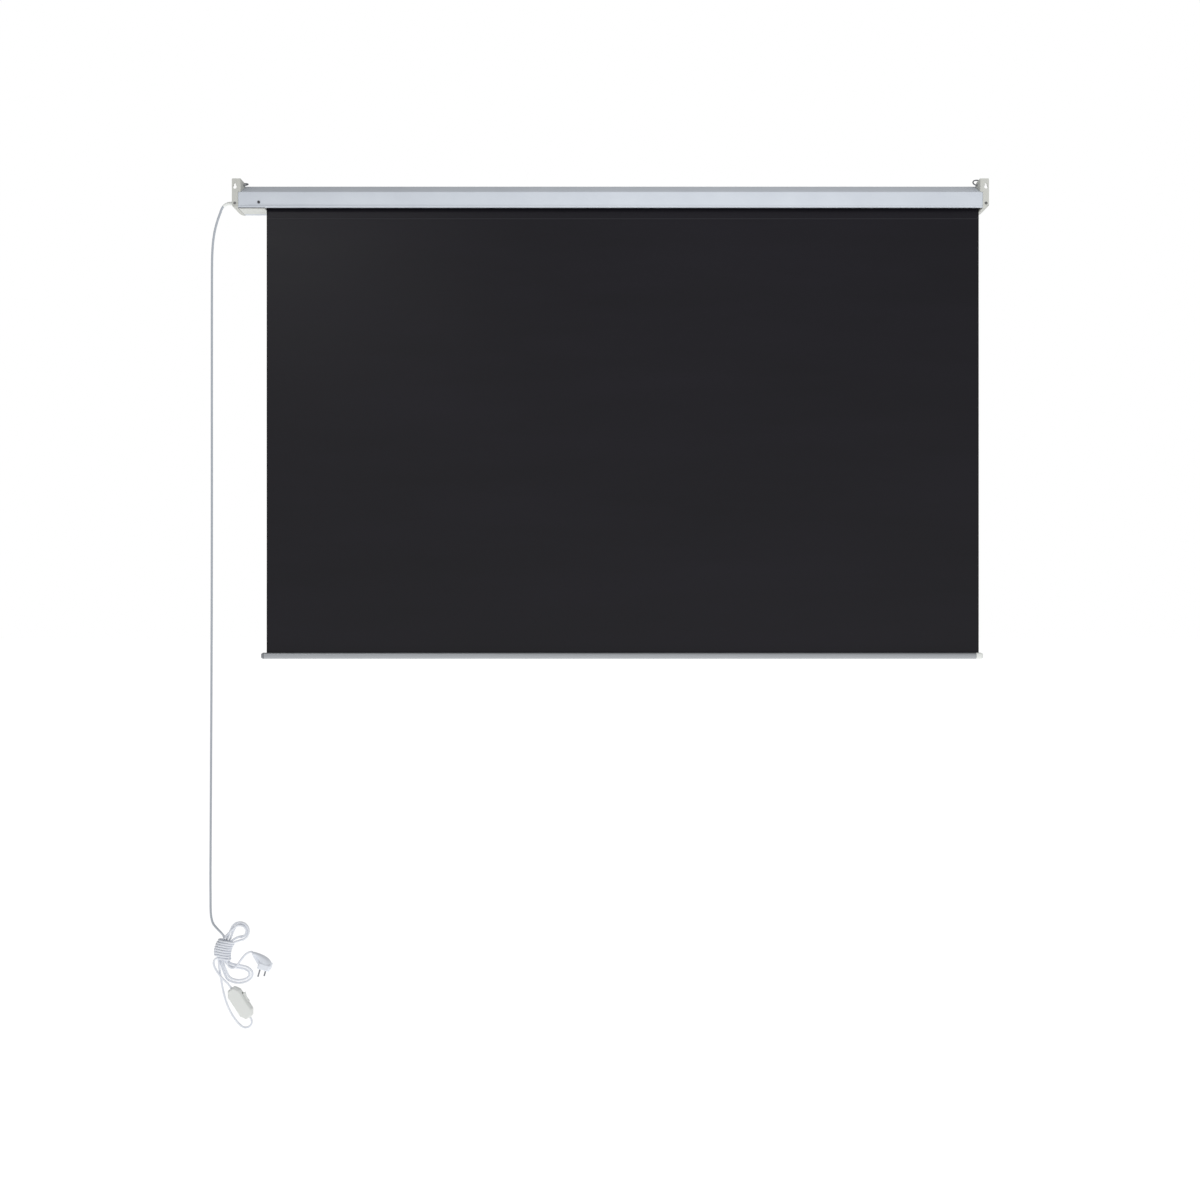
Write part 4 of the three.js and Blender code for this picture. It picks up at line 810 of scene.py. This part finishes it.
def hanging_cloth():
    """Depth is three sines of X and Z, times a bulge that is zero at both ends of the height, plus a
    narrow bell where the cloth keeps the mark of the case's edge."""
    x = np.linspace(cloth_low[0], cloth_high[0], CLOTH_COLUMNS)
    z = np.linspace(cloth_high[2], cloth_low[2], CLOTH_ROWS)
    z = np.sort(np.append(z, CREASE_HEIGHT + CREASE_ROWS))[::-1]
    share = (z - cloth_low[2]) / (cloth_high[2] - cloth_low[2])
    loose_below = np.clip((share - FLAT_SHARE) * FADE_RATE, 0, 1)
    loose_above = np.clip((1 - FLAT_SHARE - share) * FADE_RATE, 0, 1)
    held = loose_below * loose_above
    wave = 0.0
    for part, across, up, start in WAVES:
        wave = wave + part * np.sin(x[None, :] * across + z[:, None] * up + start)
    crease = CREASE_DEPTH * np.exp(-(((z - CREASE_HEIGHT) / CREASE_SPREAD) ** 2))
    depth = WAVE_DEPTH * wave * held[:, None] + crease[:, None]
    back = np.stack(np.broadcast_arrays(x[None, :], cloth_high[1] + depth, z[:, None]), axis=-1)
    front = np.stack(np.broadcast_arrays(x[None, :], cloth_low[1] + depth, z[:, None]), axis=-1)
    return np.concatenate([back, front[:, ::-1]], axis=1)


rings = hanging_cloth()
cloth = tube_piece("screen_cloth", rings)
cloth.data.materials.append(backing)
cloth.data.materials.append(picture)
facing = np.empty(len(cloth.data.polygons) * 3)
cloth.data.polygons.foreach_get("normal", facing)
is_front = facing.reshape(-1, 3)[:, 1] < FRONT_NORMAL
cloth.data.polygons.foreach_set("material_index", is_front.astype(np.int32))
cloth.data.set_sharp_from_angle(angle=FOLD_ANGLE)
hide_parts("screen_fabric")
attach(cloth, "case")
print("cloth of", len(cloth.data.polygons), "faces")

# %% Cloth still hanging when raised
slide = next(joint for joint in frame["joints"] if joint["name"] == "screen_slide")
drop = cloth_high[2] - cloth_low[2]
kept_share = 1 - slide["range_m"][1] / drop
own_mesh(cloth)
print(f"raised, {kept_share * drop * 1000:.0f} mm of cloth still hang")

# %% [markdown]
# ## Cloth wound on the roller
# The roll is not quite round: its outer layer ends in a step as thick as the cloth, on the side where
# the cloth leaves for the slot. The radius falls evenly over one turn from the outer layer's height to
# the one below, and the section is a closed loop of four corners.

# %% Wound cloth
ROLL_STEPS = 96
ROLLER_CENTRE = (-0.040, -0.028)
ROLL_INNER_RADIUS = 0.0193
CLOTH_THICKNESS = 0.00045
ROLL_EDGE_ANGLE = math.radians(40)


def wound_cloth():
    """Four corners for each angle: inner and outer radius at both ends of the roller."""
    low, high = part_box("fabric_roll")
    outer = (high[2] - low[2]) / 2
    angle = np.linspace(0, 2 * math.pi, ROLL_STEPS, endpoint=False)
    climbing = outer - CLOTH_THICKNESS * (1 - angle / (2 * math.pi))
    inner = np.full_like(angle, ROLL_INNER_RADIUS)
    radius = np.stack([inner, climbing, climbing, inner], axis=1)
    x = np.broadcast_to(np.array([low[0], low[0], high[0], high[0]]), radius.shape)
    y = ROLLER_CENTRE[0] + radius * np.cos(angle)[:, None]
    z = ROLLER_CENTRE[1] - radius * np.sin(angle)[:, None]
    points = np.stack([x, y, z], axis=-1).reshape(-1, 3)
    faces = grid_faces(ROLL_STEPS, 4, True, True)
    if signed_volume(points, faces) < 0:
        faces = faces[:, ::-1]
    return new_piece("wound_cloth", points, faces)


roll = wound_cloth()
roll.data.materials.append(backing)
roll.data.set_sharp_from_angle(angle=ROLL_EDGE_ANGLE)
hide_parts("fabric_roll")
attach(roll, "roller")
print("roll of", len(roll.data.polygons), "faces")

# %% [markdown]
# ## Dressing the rigid pieces
# The model's solids have the right shape, but they are loose flat triangles with knife edges. A copy
# of each is merged into one skin, its flat faces are joined, its round faces are shaded smooth, and a
# narrow bevel gives the edges the small radius that moulding and folding leave, which is what catches
# the light.


# %% Dress a solid
MERGE_DISTANCE = 2e-6
FLAT_ANGLE = math.radians(0.4)
CORNER_ANGLE = math.radians(40)
BEVEL_SEGMENTS = 2


def dressed(node, finish, radius):
    """A merged copy of a node with smooth rounds, sharp corners kept by angle, and bevelled edges."""
    source = frame["nodes"][node]
    skin = bmesh.new()
    skin.from_mesh(source.data)
    bmesh.ops.remove_doubles(skin, verts=skin.verts, dist=MERGE_DISTANCE)
    bmesh.ops.dissolve_limit(skin, angle_limit=FLAT_ANGLE, verts=skin.verts, edges=skin.edges)
    mesh = bpy.data.meshes.new(f"{node}_skin")
    skin.to_mesh(mesh)
    skin.free()
    mesh.materials.clear()
    mesh.materials.append(finish)
    mesh.shade_smooth()
    mesh.set_sharp_from_angle(angle=CORNER_ANGLE)
    piece = bpy.data.objects.new(f"{node}_skin", mesh)
    bpy.context.scene.collection.objects.link(piece)
    if radius:
        bevel = piece.modifiers.new("edge_radius", "BEVEL")
        bevel.width = radius
        bevel.segments = BEVEL_SEGMENTS
        bevel.limit_method = "ANGLE"
        bevel.angle_limit = CORNER_ANGLE
        bevel.harden_normals = True
    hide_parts(node)
    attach(piece, next(body for body, nodes in bodies.items() if node in nodes))
    return piece


bodies = frame["record"]["behaviour"]["bodies"]
print("bodies:", ", ".join(bodies))

# %% Slot cover finish
SEAM_WIDTH = 0.0011
COVER_ROUGHNESS = 0.45
COVER_SPREAD = 0.1
COVER_GRAIN = 1500
COVER_DEPTH = 0.00004


def seamed_cover(high):
    """The cover's plastic, with painted shade along the edge that lies on the case's hem, for the shadow where the
    parts meet.
    """
    made = Finish("slot_cover_moulding")
    across, depth, _ = made.axes()
    # Painted shade: a dark band of colour along the seam with the case, standing in for its shadow.
    seam_shade = ((depth > high[1] - SEAM_WIDTH) + (across > high[0] - SEAM_WIDTH)).clamped()
    fine = made.noise(COVER_GRAIN, detail=2.0)
    plain = made.mixed(fine, grey(204, 206, 202), grey(214, 216, 212))
    made.feed("Base Color", made.mixed(seam_shade, plain, grey(96, 97, 96)))
    made.feed("Roughness", COVER_ROUGHNESS + COVER_SPREAD * fine)
    made.bump(fine, COVER_DEPTH)
    return made.material


cover_low, cover_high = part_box("slot_cover")
seamed = seamed_cover(cover_high)
print("cover from", [round(v, 4) for v in cover_low], "to", [round(v, 4) for v in cover_high])

# %% Dress the case and its fittings
RIGID_PIECES = [
    ("case_shell", case_paint, "case_paint", 0.00025),
    ("motor_end_cap", cap_plastic, "cap_plastic", 0.0003),
    ("idler_end_cap", cap_plastic, "cap_plastic", 0.0003),
    ("slot_cover", seamed, "cover_plastic", 0.0003),
    ("cap_screw_motor", worn_steel, "dark_steel", 0.00015),
    ("cap_screw_idler", worn_steel, "dark_steel", 0.00015),
    ("case_screw", dark_steel, "dark_steel", 0.00015),
    ("motor_bracket", zinc, "zinc_steel", 0.0002),
    ("motor_head", black_plastic, "black_plastic", 0.0003),
    ("motor_tube", zinc, "zinc_steel", 0.0003),
    ("limit_screw_up", white_plastic, "white_plastic", 0.00015),
    ("limit_screw_down", cover_plastic, "cover_plastic", 0.00015),
    ("roller_tube", bar_metal, "bar_aluminium", 0.0002),
    ("limit_ring", grey_plastic, "grey_plastic", 0.0002),
    ("drive_crown", grey_plastic, "grey_plastic", 0.0002),
    ("idler_plug", grey_plastic, "grey_plastic", 0.0002),
    ("idler_pin", zinc, "zinc_steel", 0.0003),
    ("idler_bush", white_plastic, "white_plastic", 0.0003),
    ("bottom_bar", bar_metal, "bar_aluminium", 0.0002),
    ("bar_cap_motor", grey_plastic, "grey_plastic", 0.0003),
    ("bar_cap_idler", white_plastic, "white_plastic", 0.0003),
    ("bar_rod", zinc, "zinc_steel", 0.0002),
    ("motor_cable", cord_finish, "cord_jacket", 0),
    ("switch_base", white_plastic, "white_plastic", 0.0006),
    ("switch_cover", white_plastic, "white_plastic", 0.0006),
    ("switch_rocker", white_plastic, "white_plastic", 0.0006),
    ("plug_body", plug_plastic, "white_plastic", 0.0005),
    ("plug_pin_1", zinc, "zinc_steel", 0.0002),
    ("plug_pin_2", zinc, "zinc_steel", 0.0002),
]
skins = {node: dressed(node, finish, radius) for node, finish, slot, radius in RIGID_PIECES}
print("dressed", len(skins), "solids")

# %% [markdown]
# ## The plug's hood
# The plug is an angled one: its lead comes in sideways, and a moulded hood widens from the lead to the
# whole width of the block. The hood is a tube whose two sides are drawn as curves in the plug's own
# plane, a straight one below and a bulging one above, and each section is a rounded loop between them.

# %% Plug hood
HOOD_STEPS = 36
HOOD_SIDES = 40
HOOD_LOW_SIDE = np.array([[-38.9, -18.1], [-20.5, -17.6], [-14.6, -7.0]])
HOOD_HIGH_SIDE = np.array([[-34.7, -24.9], [6.5, -24.8], [14.4, -7.0]])
HOOD_DEPTHS = (4.0, 12.2)
HOOD_SWELL = 0.8
HOOD_CORNER = 0.7
HOOD_EDGE_ANGLE = math.radians(60)


def bend(corners, share):
    """A curve from the first corner to the last, drawn towards the middle one: a quadratic Bezier."""
    share = share[:, None]
    first, middle, last = corners
    return (1 - share) ** 2 * first + 2 * share * (1 - share) * middle + share**2 * last


def plug_hood():
    """Sections between the two sides; powers below 1 of cosine and sine square the loop's corners."""
    share = np.linspace(0, 1, HOOD_STEPS)
    low, high = bend(HOOD_LOW_SIDE, share), bend(HOOD_HIGH_SIDE, share)
    angle = np.linspace(0, 2 * math.pi, HOOD_SIDES, endpoint=False)
    power = 1 + (HOOD_CORNER - 1) * share[:, None]
    across = np.sign(np.cos(angle)) * np.abs(np.cos(angle)) ** power
    deep = np.sign(np.sin(angle)) * np.abs(np.sin(angle)) ** power
    plane = (low + high)[:, None, :] / 2 + (high - low)[:, None, :] / 2 * across[:, :, None]
    half = HOOD_DEPTHS[0] + (HOOD_DEPTHS[1] - HOOD_DEPTHS[0]) * share**HOOD_SWELL
    points = turned(PLUG_PLACE, PLUG_TURN, plane[:, :, 0], plane[:, :, 1])
    points[:, :, 1] += half[:, None] * deep
    return points * MM


hood = tube_piece("plug_hood", plug_hood())
hood.data.materials.append(plug_plastic)
hood.data.set_sharp_from_angle(angle=HOOD_EDGE_ANGLE)
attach(hood, "case")
print("hood of", len(hood.data.polygons), "faces")

# %% [markdown]
# ## Ceiling rings
# Each ring is a plain steel wire bent round, through the hole in the cap's ear. A ring is a circle
# carried round a circle, and its place comes from the model's own ring, whose hinge it hangs in.

# %% Ceiling rings
RING_RADIUS = 0.0097
RING_WIRE = 0.0015
RING_STEPS = 72
RING_SIDES = 20
HINGE_DEPTH = -0.024
HINGE_HEIGHT = 0.005
# each ring: where its hinge is along X, how far it leans in degrees, and its body
RING_HINGES = {
    "ceiling_ring_motor": (0.8788, 60, "ring_motor"),
    "ceiling_ring_idler": (-0.8788, 35, "ring_idler"),
}


def ceiling_ring(node, hinge_x, lean):
    """Round the ring: the wire's centre on a circle in the plane of X and the leaning direction."""
    out = np.array([0.0, -math.sin(math.radians(lean)), math.cos(math.radians(lean))])
    across = np.array([1.0, 0.0, 0.0])
    side = np.cross(across, out)
    centre = np.array([hinge_x, HINGE_DEPTH, HINGE_HEIGHT]) + RING_RADIUS * out
    around = np.linspace(0, 2 * math.pi, RING_STEPS, endpoint=False)[:, None, None]
    wire = np.linspace(0, 2 * math.pi, RING_SIDES, endpoint=False)[None, :, None]
    spoke = np.cos(around) * across + np.sin(around) * out
    points = centre + (RING_RADIUS + RING_WIRE * np.cos(wire)) * spoke + RING_WIRE * np.sin(wire) * side
    faces = grid_faces(RING_STEPS, RING_SIDES, True, True)
    points = points.reshape(-1, 3)
    if signed_volume(points, faces) < 0:
        faces = faces[:, ::-1]
    return new_piece(f"{node}_wire", points, faces)


for node, (hinge_x, lean, body) in RING_HINGES.items():
    ring = ceiling_ring(node, hinge_x, lean)
    ring.data.materials.append(zinc)
    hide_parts(node)
    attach(ring, body)
print("rings made")

# %% Cords and cloth
print("cords and cloth made above")

# %% [markdown]
# ## Studio
# The photograph has a plain white ground and very soft light. Faces that look down are brighter than
# those that look up, and round things have darker edges, so the light comes from the camera's side
# and off a lit floor, and less of it from overhead and from left and right. The room is brighter
# where the camera sees it directly, as a lit backdrop is.

# %% Floor
FLOOR_HEIGHT = -2.06
FLOOR_HALF = 30.0
FLOOR_GLOW = 0.7
FLOOR_COLOUR = (0.9, 0.9, 0.9, 1)
WHITE = (1, 1, 1, 1)


def floor_piece():
    """A flat square far larger than the view."""
    half = FLOOR_HALF
    points = np.array([
        [-half, -half, FLOOR_HEIGHT], [half, -half, FLOOR_HEIGHT],
        [half, half, FLOOR_HEIGHT], [-half, half, FLOOR_HEIGHT]])
    return new_piece("floor", points, [[0, 1, 2, 3]])


floor = floor_piece()
floor_finish = Finish(
    "floor_paint",
    Base_Color=FLOOR_COLOUR,
    Roughness=0.9,
    Emission_Color=WHITE,
    Emission_Strength=FLOOR_GLOW,
)
floor.data.materials.append(floor_finish.material)
print("floor at", FLOOR_HEIGHT, "m")

# %% The room's brightness
SIDE_DIMMING = 0.45
ROOM_BLUE = 1.01
# each step: the height in the room, from 0 straight down to 1 straight up, and its brightness
ROOM_STEPS = [(0.0, 0.9), (0.5, 0.78), (0.72, 0.55), (0.95, 0.3)]

room = bpy.data.worlds.new("room")
room.use_nodes = True
bpy.context.scene.world = room
backdrop = room.node_tree.nodes["Background"]


def room_node(kind, **links):
    """A node of the room's tree, with its inputs linked by name."""
    made = room.node_tree.nodes.new(kind)
    for name, source in links.items():
        room.node_tree.links.new(source, made.inputs[name])
    return made


direction = room_node("ShaderNodeTexCoord").outputs["Generated"]
parts = room_node("ShaderNodeSeparateXYZ", Vector=direction).outputs
lifted = Flow(room.node_tree, parts["Z"]) * 0.5 + 0.5
sideways = Flow(room.node_tree, parts["X"])
height_ramp = room_node("ShaderNodeValToRGB", Fac=lifted.socket)
steps = height_ramp.color_ramp.elements
for index, (position, bright) in enumerate(ROOM_STEPS):
    step = steps[index] if index < 2 else steps.new(position)
    step.position = position
    step.color = (bright, bright, bright * ROOM_BLUE, 1)
level = Flow(room.node_tree, height_ramp.outputs[0]) * (1 - SIDE_DIMMING * sideways * sideways)
seen = Flow(room.node_tree, room_node("ShaderNodeLightPath").outputs["Is Camera Ray"])
strength = seen + (1 - seen) * level
room.node_tree.links.new(strength.socket, backdrop.inputs["Strength"])
backdrop.inputs["Color"].default_value = WHITE
print("room of", len(ROOM_STEPS), "steps of brightness")


# %% Lights
def area_light(name, place, aim, size, power):
    """A square lamp at a place, turned to face another."""
    lamp = bpy.data.lights.new(name, "AREA")
    lamp.energy = power
    lamp.size = size
    light = bpy.data.objects.new(name, lamp)
    light.location = place
    light.rotation_euler = (Vector(aim) - Vector(place)).to_track_quat("-Z", "Y").to_euler()
    bpy.context.scene.collection.objects.link(light)
    return light


main_light = area_light("main_light", (-0.35, 1.6, 0.3), (-0.3, 0, -0.1), size=0.6, power=10)
main_light.visible_glossy = False
sheen_light = area_light("sheen_light", (1.75, 3.3, 1.05), (0.8, 0, -0.1), size=0.5, power=8)
sheen_light.visible_diffuse = False
bpy.context.scene.view_settings.view_transform = "Standard"
print("studio ready")
